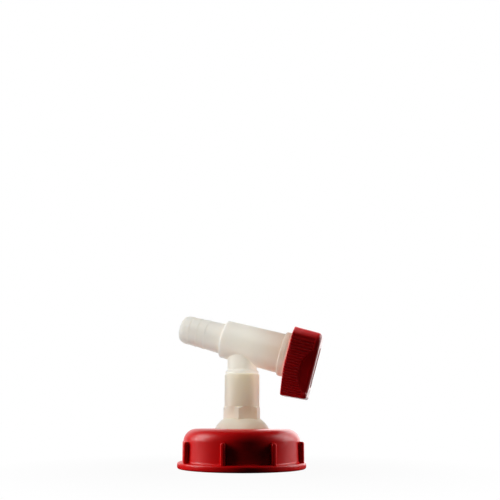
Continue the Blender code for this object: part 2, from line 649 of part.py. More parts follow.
def knob_core():
    """Hub and its four stiffening webs inside the knob."""
    back = MOUTH + FIT_GAP
    front = KNOB_FRONT - KNOB_FACE / 2
    circle = arc((0.0, 0.0), KNOB_HUB_RADIUS, 0, 360 - 360 / KNOB_HUB_SEGMENTS, KNOB_HUB_SEGMENTS - 1)
    hub = add_object("knob_hub_guide", prism([(back, y, z) for y, z in circle],
                                             [(front, y, z) for y, z in circle]))
    half = KNOB_WEB / 2
    web_back = KNOB_BACK + KNOB_WEB_INSET
    inset = KNOB_WALL * 3 / 4
    side = KNOB_HALF_WIDTH - KNOB_WALL
    upright = block_mesh((web_back, -half, -KNOB_LEVER + KNOB_WALL), (front, half, KNOB_TOP - inset))
    across = block_mesh((web_back, -side, -half), (front, side, half))
    combine(hub, add_object("knob_upright_web_guide", upright), "UNION")
    combine(hub, add_object("knob_cross_web_guide", across), "UNION")
    return hub


def flank_frame(side):
    """Frame on a knob flank: X along the flank towards the front, Y out of it, Z up the knob."""
    tilt = Matrix.Rotation(radians(-side * KNOB_SIDE_DRAFT), 4, "Z")
    origin = Matrix.Translation(Vector((KNOB_BACK, side * KNOB_HALF_WIDTH, 0)))
    return origin @ tilt


def grip_cutter(side):
    """Row of V grooves along the flank."""
    frame = flank_frame(side)
    parts = []
    for k in range(GRIP_COUNT):
        middle = GRIP_TOP - k * GRIP_PITCH
        section = [(side * -GRIP_DEPTH, middle), (side * GRIP_DEPTH, middle - GRIP_WIDTH),
                   (side * GRIP_DEPTH, middle + GRIP_WIDTH)]
        ends = [[frame @ Vector((x, y, z)) for y, z in section]
                for x in (-CUT_MARGIN, KNOB_DEPTH - GRIP_EDGE_MARGIN)]
        parts.append(prism(ends[0], ends[1]))
    name = "grip_left_guide" if side < 0 else "grip_right_guide"
    return add_object(name, joined(parts))


def scoop_cutter(side):
    """Shallow conical finger scoop that meets the flank in an arc and deepens towards the front."""
    frame = flank_frame(side)
    run = KNOB_DEPTH / cos(radians(KNOB_SIDE_DRAFT))
    centre = (run + SCOOP_RADIUS - SCOOP_REACH, SCOOP_CENTRE_HEIGHT)
    slope = tan(radians(SCOOP_SLOPE))
    loops = []
    for out in (SCOOP_CUTTER_RISE, -SCOOP_CUTTER_DEPTH):
        last = 360 - 360 / SCOOP_SEGMENTS
        circle = arc(centre, SCOOP_RADIUS + out / slope, 0, last, SCOOP_SEGMENTS - 1)
        loops.append([frame @ Vector((x, side * out, z)) for x, z in circle])
    name = "scoop_left_guide" if side < 0 else "scoop_right_guide"
    return add_object(name, prism(loops[0], loops[1]))


def build():
    for old in list(bpy.data.objects):
        bpy.data.objects.remove(old, do_unlink=True)
    red = material("red_polyethylene", (0.52, 0.01, 0.02), 0.35)
    knob_red = material("red_polypropylene", (0.40, 0.008, 0.02), 0.4)
    white = material("natural_polyethylene", (0.83, 0.79, 0.72), 0.4)
    plug_white = material("natural_polypropylene", (0.80, 0.78, 0.74), 0.35)
    foam = material("expanded_polyethylene", (0.82, 0.82, 0.80), 0.8)
    rubber = material("black_rubber", (0.02, 0.02, 0.02), 0.6)
    clear = material("acetal", (0.85, 0.85, 0.82), 0.3)
    screw_cap(red)
    neck_gasket(foam)
    adapter(white)
    spigot_seal(rubber)
    tap_body(white)
    tap_plug(plug_white)
    plug_seal("plug_seal_tail", TAIL_SEAL_PLACE, rubber)
    plug_seal("plug_seal_knob", KNOB_SEAL_PLACE, rubber)
    retaining_ring(clear)
    knob(knob_red)


build()
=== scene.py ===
"""Looks of a canister dispensing tap: moulded pieces, procedural plastics, and a plain studio."""

import json
from math import atan2, copysign, cos, hypot, log, pi, radians, sin, tan

import bmesh
import bpy
from bpy.props import FloatProperty, FloatVectorProperty, IntProperty, PointerProperty
from bpy.types import Operator, Panel, PropertyGroup
from mathutils import Matrix, Vector


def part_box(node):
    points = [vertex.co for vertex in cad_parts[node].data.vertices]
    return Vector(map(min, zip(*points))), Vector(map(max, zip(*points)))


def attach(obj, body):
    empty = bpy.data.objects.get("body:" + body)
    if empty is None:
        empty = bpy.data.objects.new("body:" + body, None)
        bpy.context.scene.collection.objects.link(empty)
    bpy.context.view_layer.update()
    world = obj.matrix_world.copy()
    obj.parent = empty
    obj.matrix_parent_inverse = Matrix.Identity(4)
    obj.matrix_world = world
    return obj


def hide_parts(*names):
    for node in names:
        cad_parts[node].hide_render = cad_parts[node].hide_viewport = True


bl_info = {
    "name": "Canister tap",
    "version": (1, 0, 0),
    "blender": (4, 5, 0),
    "location": "View3D > Sidebar > Tap",
    "description": "Moulded pieces, finishes and studio of a canister dispensing tap",
    "category": "Object",
}

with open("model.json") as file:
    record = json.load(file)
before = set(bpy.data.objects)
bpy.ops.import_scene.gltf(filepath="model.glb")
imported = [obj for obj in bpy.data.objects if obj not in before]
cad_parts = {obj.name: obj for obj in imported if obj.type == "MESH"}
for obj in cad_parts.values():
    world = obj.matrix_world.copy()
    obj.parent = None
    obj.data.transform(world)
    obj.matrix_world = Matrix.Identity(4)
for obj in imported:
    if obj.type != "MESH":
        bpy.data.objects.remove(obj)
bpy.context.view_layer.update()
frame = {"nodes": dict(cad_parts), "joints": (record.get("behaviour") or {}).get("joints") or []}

MM = 0.001
KNOB_JOINT = next(joint for joint in frame["joints"] if joint["name"] == "knob_turn")
BARREL_CROSSING = Vector(KNOB_JOINT["pos_m"])
BARREL_AXIS = Vector(KNOB_JOINT["axis"])
CAP_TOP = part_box("screw_cap")[1].z
# Height of the hexagon's turned top corners.
HEX_CHAMFER = 1.4 * MM
# The point that the lamps are aimed at.
TAP_MIDDLE = Vector((0.0, 0.0, 40 * MM))
# Pieces of unpigmented plastic that show; they have lamps of their own.
MILKY = ("adapter_nipple", "tap_body_shell", "tap_plug")
# Mesh edges sharper than this stay crisp; the lofted pieces have short facets in their grooves.
CRISP = radians(38)
LOFT_CRISP = radians(50)
# Facets round the turned pieces.
CAP_FACETS, BARREL_FACETS, TUBE_FACETS, BORE_FACETS = 192, 216, 144, 96


def linear(hex_colour):
    """Linear RGB of an sRGB colour written as #RRGGBB."""
    values = [int(hex_colour[k:k + 2], 16) / 255 for k in (1, 3, 5)]
    return tuple(v / 12.92 if v <= 0.04045 else ((v + 0.055) / 1.055) ** 2.4 for v in values)


def length(name, millimetres, description):
    return FloatProperty(name=name, default=millimetres * MM, unit="LENGTH", description=description)


def colour(name, hex_colour, description):
    return FloatVectorProperty(name=name, default=linear(hex_colour), subtype="COLOR",
                               description=description)


def angle(name, degrees_value, description):
    return FloatProperty(name=name, default=radians(degrees_value), subtype="ANGLE",
                         description=description)


class CapSizes(PropertyGroup):
    wall_radius: length("Wall radius", 32.1, "Outside of the cap's wall under the shoulder")
    wall_foot: length("Wall foot radius", 32.5, "Outside of the cap's wall where it meets the flange")
    thread_root: length("Thread root radius", 30.5, "Inside of the cap's wall")
    shoulder: length("Shoulder radius", 7.0, "Round from the wall to the top")
    top_wall: length("Top wall", 2.2, "Thickness of the cap's top")
    hole_radius: length("Hole radius", 15.5, "Hole that the adapter's boss stands in")
    flange_radius: length("Flange radius", 35.5, "Outside of the bottom flange")
    flange_height: length("Flange height", 3.5, "Height of the bottom flange")
    bead: length("Washer bead", 0.9, "How far the bead that holds the washer stands in")
    washer_bottom: length("Washer bottom", 14.1, "Height of the washer's lower face")
    rib_count: IntProperty(name="Grip ribs", default=8, description="Upright ribs round the cap")
    rib_start: angle("First rib", -6.3, "Turn of the first rib from the barrel's plane")
    rib_width: length("Rib width", 2.5, "Width of a grip rib")
    rib_top: length("Rib top", 14.8, "Height of a grip rib's top")
    rib_radius: length("Rib reach", 35.0, "Outside of the grip ribs")
    rib_edge: length("Rib edge", 0.8, "Round of a grip rib's outer edge")
    thread_pitch: length("Thread pitch", 4.2, "Rise of the neck thread in one turn")
    thread_depth: length("Thread depth", 1.1, "How far the thread stands in")
    thread_turns: FloatProperty(name="Thread turns", default=2.1, description="Turns of the neck thread")


class AdapterSizes(PropertyGroup):
    flange_radius: length("Flange radius", 29.2, "Flange held under the cap's top")
    flange_bottom: length("Flange bottom", 16.4, "Height of the flange's lower face")
    flange_top: length("Flange top", 19.0, "Height of the flange's upper face")
    boss_radius: length("Boss radius", 15.1, "Boss in the cap's hole")
    across_flats: length("Across flats", 19.0, "Spanner size of the hexagon")
    hex_turn: angle("Hexagon turn", -29.6, "Turn of a hexagon corner from the barrel's plane")
    hex_bottom: length("Hexagon bottom", 26.2, "Height where the flats start")
    hex_top: length("Hexagon top", 33.9, "Height where the flats end")
    socket_radius: length("Socket radius", 9.75, "Outside of the round socket")
    socket_top: length("Socket top", 51.86, "Height of the socket's mouth")
    bore: length("Bore", 5.4, "Inlet bore")


class BodySizes(PropertyGroup):
    collar_bottom: length("Collar bottom", 51.9, "Height of the collar's lower face, on the socket")
    collar_top: length("Collar top", 54.2, "Height of the collar's upper face")
    collar_radius: length("Collar radius", 9.3, "Outside of the collar")
    branch_radius: length("Branch radius", 8.25, "Outside of the branch tube")
    branch_bore: length("Branch bore", 5.2, "Inside of the branch")
    barrel_start: length("Barrel start", -10.7, "Where the barrel's shoulder stands, from the branch's axis")
    start_radius: length("Barrel start radius", 10.7, "Outside of the barrel at its shoulder")
    end_radius: length("Barrel end radius", 11.15, "Outside of the barrel at its bead")
    bead_start: length("Bead start", 23.2, "Where the end bead starts")
    bead_radius: length("Bead radius", 12.5, "Outside of the end bead")
    mouth: length("Mouth", 27.0, "Where the barrel ends")
    tail_tip: length("Tail tip", -36.2, "Where the hose tail ends")
    tip_radius: length("Tip radius", 5.3, "Flat ring at the hose tail's end")
    nose: length("Nose length", 4.0, "Length of the hose tail's rounded nose")
    nose_radius: length("Nose radius", 7.95, "Outside of the hose tail behind its nose")
    root_radius: length("Root radius", 8.65, "Outside of the hose tail at the barrel")
    tail_bore: length("Tail bore", 4.5, "Inside of the hose tail")
    barb_count: IntProperty(name="Barbs", default=3, description="Barbs on the hose tail")
    barb_start: length("First barb", -30.5, "Where the first barb peaks")
    barb_pitch: length("Barb pitch", 4.8, "Distance between barbs")
    barb_step: length("Barb step", 0.25, "Height of a barb's step")
    seat_start: length("Seat start", -8.6, "Where the plug's seat starts")
    seat_start_radius: length("Seat start radius", 7.6, "Narrow end of the plug's seat")
    seat_end_radius: length("Seat end radius", 8.3, "Wide end of the plug's seat")
    groove_start: length("Ring groove start", 23.2, "Where the split ring's groove starts")
    groove_end: length("Ring groove end", 25.0, "Where the split ring's groove ends")
    groove_radius: length("Ring groove radius", 9.3, "Floor of the split ring's groove")


class KnobSizes(PropertyGroup):
    back: length("Back", 27.3, "Back rim, from the branch's axis along the barrel")
    depth: length("Depth", 16.0, "Back rim to front face")
    half_width: length("Half width", 11.0, "Half of the knob's width at its back")
    side_draft: angle("Side draft", 4.3, "How far the flanks lean in")
    top: length("Top", 16.0, "Height of the round top over the barrel's axis")
    top_draft: angle("Top draft", 1.1, "How far the top leans in")
    top_corner: length("Top corner", 6.4, "Radius of the top's corners")
    lever: length("Lever", 22.9, "Reach of the lever below the barrel's axis")
    lever_draft: angle("Lever draft", 5.4, "How far the lever's end leans in")
    lever_corner: length("Lever corner", 1.6, "Radius of the lever's corners")
    sweep_start: length("Sweep start", -5.0, "Height where the back rim starts to sweep forward")
    sweep: length("Sweep", 2.0, "How far the back rim sweeps forward at the lever's end")
    edge: length("Front edge", 2.6, "Round of the front edge")
    low_edge: length("Lower front edge", 1.4, "Round of the front edge at the lever's end")
    wall: length("Wall", 2.0, "Thickness of the flanks")
    face: length("Face", 2.4, "Thickness of the front")
    hub_radius: length("Hub radius", 6.6, "Outside of the hub")
    web: length("Web", 1.6, "Thickness of the stiffening webs")
    stub_width: length("Stub width", 7.6, "Square of the plug's stub in the hub")
    grip_count: IntProperty(name="Grip grooves", default=23, description="Grooves on each flank")
    grip_pitch: length("Grip pitch", 1.61, "Distance between grooves at the barrel's axis")
    grip_closing: FloatProperty(name="Grip closing", default=0.0105,
                                description="Share of the pitch that is lost with each mm down")
    grip_top: length("Grip top", 10.4, "Height of the first groove")
    grip_depth: length("Grip depth", 0.36, "Depth of the grooves")
    scoop_radius: length("Scoop radius", 16.5, "Arc where the finger scoop meets the flank")
    scoop_centre: length("Scoop centre", 8.4, "Distance of that arc's centre in front of the knob")
    scoop_height: length("Scoop height", -6.7, "Height of that arc's centre")
    scoop_slope: angle("Scoop slope", 11.0, "Slope of the finger scoop")
    mark_height: length("Mark height", 0.35, "How far the raised mark stands out")


class Finishes(PropertyGroup):
    cap_red: colour("Cap red", "#C60609", "Moulded red of the cap")
    knob_red: colour("Knob red", "#B4070E", "Moulded red of the knob")
    natural: colour("Natural plastic", "#EFEDE5", "Unpigmented plastic where it is thin")
    # Painted shade: the barrel's colour darkens and warms towards the knob, on top of the warmer tone of
    # thick plastic.
    natural_barrel_shaded: colour("Natural plastic, barrel", "#CDB6A2", "Unpigmented plastic round the plug")
    # Painted shade: a darker colour for the inside of the tail's bore.
    natural_bore_painted_shade: colour("Natural plastic, bore", "#9E9080", "Unpigmented plastic inside the bore")
    # Painted shade: the adapter's colour darkens and warms towards +X, on top of the warmer tone of thick
    # plastic.
    natural_stem_shaded: colour("Natural plastic, stem", "#E0D6BC", "Unpigmented plastic in the stem")
    plug: colour("Plug plastic", "#E9E6DC", "Unpigmented plug and ring")
    foam: colour("Foam", "#EDEDE8", "Foam washer")
    rubber: colour("Rubber", "#1B1B1C", "Seals")


class StudioSizes(PropertyGroup):
    azimuth: angle("Azimuth", 9.3, "Turn of the camera from the barrel's side view")
    distance: length("Distance", 336.0, "Camera to the cap's axis")
    height: length("Height", 25.3, "Camera above the floor")
    aside: length("Aside", 4.42, "Camera's place to the right of the cap's axis")
    pitch: angle("Pitch", 6.5, "How far the camera looks up")
    roll: angle("Roll", 0.16, "How far the camera leans to the left")
    lens: FloatProperty(name="Lens", default=43.12, description="Focal length in mm on a 36 mm sensor")
    shift: FloatProperty(name="Shift", default=0.2074,
                         description="Vertical shift of the lens, as a share of the frame")


def barrel_frame():
    """Barrel place: local Z runs along its axis to the knob, from where it crosses the branch's axis."""
    turn = BARREL_AXIS.to_track_quat("Z", "Y").to_matrix().to_4x4()
    return Matrix.Translation(BARREL_CROSSING) @ turn


def knob_frame():
    """Knob place: local X runs along the barrel's axis, local Y across the knob, local Z up it."""
    across = Vector((0, 1, 0))
    up = BARREL_AXIS.cross(across)
    turn = Matrix((BARREL_AXIS, across, up)).transposed().to_4x4()
    return Matrix.Translation(BARREL_CROSSING) @ turn


def add_piece(name, points, faces, finish=None, crisp=CRISP):
    """Mesh object with its place in its mesh, smooth except at its crisp edges."""
    mesh = bpy.data.meshes.new(name)
    mesh.from_pydata([tuple(p) for p in points], [], faces)
    work = bmesh.new()
    work.from_mesh(mesh)
    bmesh.ops.remove_doubles(work, verts=work.verts, dist=1e-7)
    bmesh.ops.recalc_face_normals(work, faces=work.faces)
    work.to_mesh(mesh)
    work.free()
    mesh.shade_smooth()
    mesh.set_sharp_from_angle(angle=crisp)
    made = bpy.data.objects.new(name, mesh)
    bpy.context.scene.collection.objects.link(made)
    if finish:
        mesh.materials.append(finish)
    return made


def filleted(corners, closed=True, chord=0.35 * MM):
    """Outline points of corners given as (radius, height, fillet)."""
    points = []
    count = len(corners)
    for k, (r, z, fillet) in enumerate(corners):
        if fillet == 0 or (not closed and k in (0, count - 1)):
            points.append((r, z))
            continue
        here = Vector((r, z))
        before = Vector(corners[k - 1][:2]) - here
        after = Vector(corners[(k + 1) % count][:2]) - here
        half = before.angle(after) / 2
        reach = min(fillet / tan(half), 0.48 * before.length, 0.48 * after.length)
        radius = reach * tan(half)
        start = here + before.normalized() * reach
        end = here + after.normalized() * reach
        centre = here + (before.normalized() + after.normalized()).normalized() * (radius / sin(half))
        first = atan2(start.y - centre.y, start.x - centre.x)
        sweep = atan2(end.y - centre.y, end.x - centre.x) - first
        sweep = (sweep + pi) % (2 * pi) - pi
        steps = 3 + int(abs(sweep) * radius / chord)
        for i in range(steps + 1):
            turn = first + sweep * i / steps
            points.append((centre.x + radius * cos(turn), centre.y + radius * sin(turn)))
    return points


def turned(name, outline, segments, place=Matrix(), finish=None, closed=True, raise_at=None):
    """Piece spun round local Z; raise_at(turn, height) may lift points off the turned surface."""
    points = []
    for k in range(segments):
        turn = 2 * pi * k / segments
        for r, z in outline:
            lifted = r + (raise_at(turn, z) if raise_at and r > 0 else 0.0)
            points.append(place @ Vector((lifted * cos(turn), lifted * sin(turn), z)))
    count = len(outline)
    faces = []
    for k in range(segments):
        nxt = (k + 1) % segments
        for i in range(count if closed else count - 1):
            j = (i + 1) % count
            faces.append((k * count + i, nxt * count + i, nxt * count + j, k * count + j))
    return add_piece(name, points, faces, finish)


def combined(target, tools):
    """Target mesh after its Boolean tools, given as (object, operation); the tools are used up."""
    for tool, operation in tools:
        modifier = target.modifiers.new(tool.name, "BOOLEAN")
        modifier.operation = operation
        modifier.object = tool
        modifier.solver = "EXACT"
    as_mesh(target)
    for tool, operation in tools:
        bpy.data.objects.remove(tool, do_unlink=True)
    return target


def as_mesh(made):
    """Turn the evaluated object into a plain mesh and take its modifiers off."""
    evaluated = made.evaluated_get(bpy.context.evaluated_depsgraph_get())
    mesh = bpy.data.meshes.new_from_object(evaluated)
    made.modifiers.clear()
    made.data = mesh
    mesh.shade_smooth()
    mesh.set_sharp_from_angle(angle=CRISP)
    return made


def add_node(tree, kind, settings=None, links=None):
    """One node: settings are its own or its inputs' values, links are other nodes' output sockets."""
    node = tree.nodes.new(kind)
    for key, value in (settings or {}).items():
        if isinstance(key, str) and hasattr(node, key):
            setattr(node, key, value)
        else:
            node.inputs[key].default_value = value
    for key, socket in (links or {}).items():
        tree.links.new(socket, node.inputs[key])
    return node


def plastic(name):
    """New material with its tree, its shader and its Object coordinates."""
    made = bpy.data.materials.new(name)
    made.use_nodes = True
    tree = made.node_tree
    shader = tree.nodes["Principled BSDF"]
    place = add_node(tree, "ShaderNodeTexCoord").outputs["Object"]
    return made, tree, shader, place


def mixed_colour(tree, factor, low, high):
    """Output socket of a colour that runs from low to high, each a colour or a socket, with the factor."""
    mix = add_node(tree, "ShaderNodeMix", {"data_type": "RGBA"}, {"Factor": factor})
    for slot, colour in ((6, low), (7, high)):
        if isinstance(colour, bpy.types.NodeSocket):
            tree.links.new(colour, mix.inputs[slot])
        else:
            mix.inputs[slot].default_value = (*colour, 1.0)
    return mix.outputs[2]


def paint(tree, shader, factor, low, high):
    """Let the base colour run from low to high with the factor."""
    tree.links.new(mixed_colour(tree, factor, low, high), shader.inputs["Base Color"])


def moulded_surface(tree, shader, place, grain, grain_height, wave, wave_height, smooth, rough):
    """Orange peel over slow sink waves as bump, and a roughness that drifts with the waves."""
    peel = add_node(tree, "ShaderNodeTexNoise", {"Scale": 1 / grain, "Detail": 2.0}, {"Vector": place})
    waves = add_node(tree, "ShaderNodeTexNoise", {"Scale": 1 / wave, "Detail": 1.0}, {"Vector": place})
    slow = add_node(tree, "ShaderNodeBump", {"Distance": wave_height}, {"Height": waves.outputs["Fac"]})
    fine = add_node(tree, "ShaderNodeBump", {"Distance": grain_height},
                    {"Height": peel.outputs["Fac"], "Normal": slow.outputs["Normal"]})
    tree.links.new(fine.outputs["Normal"], shader.inputs["Normal"])
    gloss = add_node(tree, "ShaderNodeMapRange",
                     {"From Min": 0.3, "From Max": 0.7, "To Min": smooth, "To Max": rough},
                     {"Value": waves.outputs["Fac"]})
    tree.links.new(gloss.outputs["Result"], shader.inputs["Roughness"])


def set_glow(shader, weight, radius, reach):
    """Light that enters the plastic and comes out again within the reach."""
    shader.inputs["Subsurface Weight"].default_value = weight
    shader.inputs["Subsurface Radius"].default_value = radius
    shader.inputs["Subsurface Scale"].default_value = reach


def pigmented(name, colour, streak, swirl, ior, radius):
    """Red plastic with faint flow streaks, and light that comes through in its thin rims."""
    made, tree, shader, place = plastic(name)
    flow = add_node(tree, "ShaderNodeTexNoise", {"Scale": 1 / streak, "Detail": 3.0, "Distortion": swirl},
                    {"Vector": place})
    base = Vector(colour)
    paint(tree, shader, flow.outputs["Fac"], base * 0.95, base * 1.05)
    shader.inputs["IOR"].default_value = ior
    set_glow(shader, weight=0.6, radius=radius, reach=2 * MM)
    return made, tree, shader, place


def red_polyethylene(finishes):
    """Injection-moulded pigmented polyethylene of the cap: waxy, with a satin gloss."""
    made, tree, shader, place = pigmented("moulded_red_polyethylene", finishes.cap_red, streak=9 * MM,
                                          swirl=0.8, ior=1.51, radius=(1.0, 0.12, 0.08))
    moulded_surface(tree, shader, place, grain=0.7 * MM, grain_height=0.005 * MM, wave=7 * MM,
                    wave_height=0.02 * MM, smooth=0.29, rough=0.35)
    return made


def red_polypropylene(finishes):
    """Injection-moulded pigmented polypropylene of the knob: deeper red and a finer surface than the cap."""
    made, tree, shader, place = pigmented("moulded_red_polypropylene", finishes.knob_red, streak=6 * MM,
                                          swirl=0.6, ior=1.49, radius=(1.0, 0.1, 0.08))
    moulded_surface(tree, shader, place, grain=0.5 * MM, grain_height=0.003 * MM, wave=6 * MM,
                    wave_height=0.02 * MM, smooth=0.28, rough=0.35)
    return made


def natural_polyethylene(name, thin, thick, first, last, bore_radius=0.0, painted_bore_shade=None):
    """Unpigmented moulded polyethylene: milky, lit from within, warmer where it is thick, with painted shade.

    The colour runs from thin to thick along X, between the first and the last place; this run is partly the
    warmer tone of thick plastic and partly painted shade, darker and warmer towards +X.
    Inside the barrel's bore it has painted shade: a darker colour, where less light gets in.
    """
    made, tree, shader, place = plastic(name)
    cloud = add_node(tree, "ShaderNodeTexNoise", {"Scale": 1 / (14 * MM), "Detail": 2.0}, {"Vector": place})
    # Painted shade: the colour darkens and warms along X, from the first to the last place.
    along = add_node(tree, "ShaderNodeSeparateXYZ", None, {"Vector": place}).outputs["X"]
    run = add_node(tree, "ShaderNodeMapRange", {"interpolation_type": "SMOOTHSTEP", "From Min": first,
                                                "From Max": last, "To Max": 0.8}, {"Value": along})
    share = add_node(tree, "ShaderNodeMath", {"operation": "MULTIPLY_ADD", 1: 0.2},
                     {0: cloud.outputs["Fac"], 2: run.outputs["Result"]})
    colour = mixed_colour(tree, share.outputs[0], thin, thick)
    # Painted shade: darker colour near the barrel's axis, inside the tail's bore.
    if bore_radius:
        off = add_node(tree, "ShaderNodeVectorMath", {"operation": "SUBTRACT", 1: BARREL_CROSSING},
                       {0: place})
        across = add_node(tree, "ShaderNodeVectorMath", {"operation": "CROSS_PRODUCT", 1: BARREL_AXIS},
                          {0: off.outputs["Vector"]})
        far = add_node(tree, "ShaderNodeVectorMath", {"operation": "LENGTH"}, {0: across.outputs["Vector"]})
        inside = add_node(tree, "ShaderNodeMapRange", {"From Min": bore_radius * 1.5,
                                                       "From Max": bore_radius * 1.05},
                          {"Value": far.outputs["Value"]})
        colour = mixed_colour(tree, inside.outputs["Result"], colour, painted_bore_shade)
    tree.links.new(colour, shader.inputs["Base Color"])
    moulded_surface(tree, shader, place, grain=0.6 * MM, grain_height=0.004 * MM, wave=8 * MM,
                    wave_height=0.05 * MM, smooth=0.34, rough=0.46)
    shader.inputs["IOR"].default_value = 1.52
    set_glow(shader, weight=1.0, radius=(1.0, 0.93, 0.86), reach=5 * MM)
    return made


def natural_polypropylene(finishes):
    """Unpigmented moulded polypropylene of the plug and its ring: smooth and milky."""
    made, tree, shader, place = plastic("moulded_natural_polypropylene")
    base = Vector(finishes.plug) * 1.1
    cloud = add_node(tree, "ShaderNodeTexNoise", {"Scale": 1 / (5 * MM)}, {"Vector": place})
    paint(tree, shader, cloud.outputs["Fac"], base * 0.94, base)
    moulded_surface(tree, shader, place, grain=0.4 * MM, grain_height=0.003 * MM, wave=5 * MM,
                    wave_height=0.02 * MM, smooth=0.28, rough=0.36)
    set_glow(shader, weight=1.0, radius=(1.0, 0.8, 0.6), reach=3 * MM)
    return made


def polyethylene_foam(finishes):
    """Closed-cell foam of the washer: matt, with cells of about half a millimetre."""
    made, tree, shader, place = plastic("expanded_polyethylene_foam")
    base = Vector(finishes.foam)
    cells = add_node(tree, "ShaderNodeTexVoronoi", {"Scale": 1 / (0.5 * MM)}, {"Vector": place})
    paint(tree, shader, cells.outputs["Distance"], base, base * 0.82)
    bump = add_node(tree, "ShaderNodeBump", {"Distance": 0.08 * MM, "invert": True},
                    {"Height": cells.outputs["Distance"]})
    tree.links.new(bump.outputs["Normal"], shader.inputs["Normal"])
    shader.inputs["Roughness"].default_value = 0.85
    return made


def nitrile_rubber(finishes):
    """Moulded black seal rubber: dull, with a fine bloom."""
    made, tree, shader, place = plastic("moulded_nitrile_rubber")
    base = Vector(finishes.rubber)
    bloom = add_node(tree, "ShaderNodeTexNoise", {"Scale": 1 / (1.2 * MM), "Detail": 4.0}, {"Vector": place})
    paint(tree, shader, bloom.outputs["Fac"], base, base * 1.8)
    moulded_surface(tree, shader, place, grain=0.2 * MM, grain_height=0.004 * MM, wave=2 * MM,
                    wave_height=0.01 * MM, smooth=0.5, rough=0.65)
    return made


def started_tree(name, sockets):
    """New geometry tree with the given inputs, and those inputs' sockets inside it."""
    tree = bpy.data.node_groups.new(name, "GeometryNodeTree")
    for socket_name, kind, value in sockets:
        socket = tree.interface.new_socket(socket_name, in_out="INPUT", socket_type=kind)
        if value is not None:
            socket.default_value = value
    tree.interface.new_socket("Geometry", in_out="OUTPUT", socket_type="NodeSocketGeometry")
    return tree, add_node(tree, "NodeGroupInput").outputs


def ended_tree(tree, geometry, finish):
    """The tree with its ending: copies made real and given their material."""
    real = add_node(tree, "GeometryNodeRealizeInstances", None, {"Geometry": geometry})
    dressed = add_node(tree, "GeometryNodeSetMaterial", None,
                       {"Geometry": real.outputs["Geometry"], "Material": finish})
    add_node(tree, "NodeGroupOutput", None, {"Geometry": dressed.outputs["Geometry"]})
    return tree


def run_tree(name, tree, values, body):
    """Make a piece of the tree's result, with its inputs set by the sockets' identifiers."""
    made = bpy.data.objects.new(name, bpy.data.meshes.new(name))
    bpy.context.scene.collection.objects.link(made)
    modifier = made.modifiers.new(name, "NODES")
    modifier.node_group = tree
    for item in tree.interface.items_tree:
        if item.in_out == "INPUT" and item.name in values:
            modifier[item.identifier] = values[item.name]
    as_mesh(made)
    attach(made, body)
    return made


def repeat_round_tree():
    """Copies of one piece at equal turns round the upright axis."""
    tree, given = started_tree("repeat_round_axis", [
        ("Piece", "NodeSocketObject", None), ("Count", "NodeSocketInt", 8),
        ("First Turn", "NodeSocketFloat", 0.0), ("Finish", "NodeSocketMaterial", None)])
    spots = add_node(tree, "GeometryNodePoints", None, {"Count": given["Count"]})
    step = add_node(tree, "ShaderNodeMath", {"operation": "DIVIDE", 0: 2 * pi}, {1: given["Count"]})
    index = add_node(tree, "GeometryNodeInputIndex")
    turn = add_node(tree, "ShaderNodeMath", {"operation": "MULTIPLY_ADD"},
                    {0: index.outputs[0], 1: step.outputs[0], 2: given["First Turn"]})
    spin = add_node(tree, "ShaderNodeCombineXYZ", None, {"Z": turn.outputs[0]})
    piece = add_node(tree, "GeometryNodeObjectInfo", {"transform_space": "ORIGINAL"},
                     {"Object": given["Piece"]})
    copies = add_node(tree, "GeometryNodeInstanceOnPoints", None, {
        "Points": spots.outputs["Points"], "Instance": piece.outputs["Geometry"],
        "Rotation": spin.outputs["Vector"]})
    return ended_tree(tree, copies.outputs["Instances"], given["Finish"])


def thread_tree():
    """Helical thread: a section swept along a rising spiral, with closed ends."""
    tree, given = started_tree("neck_thread", [
        ("Section", "NodeSocketObject", None), ("Radius", "NodeSocketFloat", 0.03),
        ("Pitch", "NodeSocketFloat", 0.004), ("Turns", "NodeSocketFloat", 2.0),
        ("Bottom", "NodeSocketFloat", 0.002), ("Finish", "NodeSocketMaterial", None)])
    rise = add_node(tree, "ShaderNodeMath", {"operation": "MULTIPLY"}, {0: given["Pitch"], 1: given["Turns"]})
    helix = add_node(tree, "GeometryNodeCurveSpiral", {"Resolution": 96}, {
        "Rotations": given["Turns"], "Start Radius": given["Radius"], "End Radius": given["Radius"],
        "Height": rise.outputs[0]})
    upright = add_node(tree, "GeometryNodeSetCurveNormal", {"mode": "Z_UP"},
                       {"Curve": helix.outputs["Curve"]})
    section = add_node(tree, "GeometryNodeObjectInfo", None, {"Object": given["Section"]})
    swept = add_node(tree, "GeometryNodeCurveToMesh", {"Fill Caps": True}, {
        "Curve": upright.outputs["Curve"], "Profile Curve": section.outputs["Geometry"]})
    lift = add_node(tree, "ShaderNodeCombineXYZ", None, {"Z": given["Bottom"]})
    placed = add_node(tree, "GeometryNodeTransform", None,
                      {"Geometry": swept.outputs["Mesh"], "Translation": lift.outputs["Vector"]})
    return ended_tree(tree, placed.outputs["Geometry"], given["Finish"])


def cap_outline(sizes):
    """Section of the cap's wall, from its rim up over the shoulder and down inside."""
    bead = sizes.thread_root - sizes.bead
    washer = sizes.washer_bottom
    ceiling = CAP_TOP - sizes.top_wall
    return filleted([
        (sizes.thread_root, 0.0, 0.5 * MM), (sizes.flange_radius, 0.0, 0.9 * MM),
        (sizes.flange_radius, sizes.flange_height, 1.1 * MM),
        (sizes.wall_foot, sizes.flange_height, 0.9 * MM),
        (sizes.wall_radius, CAP_TOP, sizes.shoulder), (sizes.hole_radius, CAP_TOP, 0.5 * MM),
        (sizes.hole_radius, ceiling, 0.3 * MM), (bead, ceiling, 0.6 * MM),
        (bead, washer + 2.3 * MM, 0.3 * MM), (sizes.thread_root, washer + 2.0 * MM, 0.2 * MM),
        (sizes.thread_root, washer, 0.2 * MM), (bead, washer - 0.3 * MM, 0.25 * MM),
        (bead, washer - 0.9 * MM, 0.25 * MM), (sizes.thread_root, washer - 2.1 * MM, 0.4 * MM)])


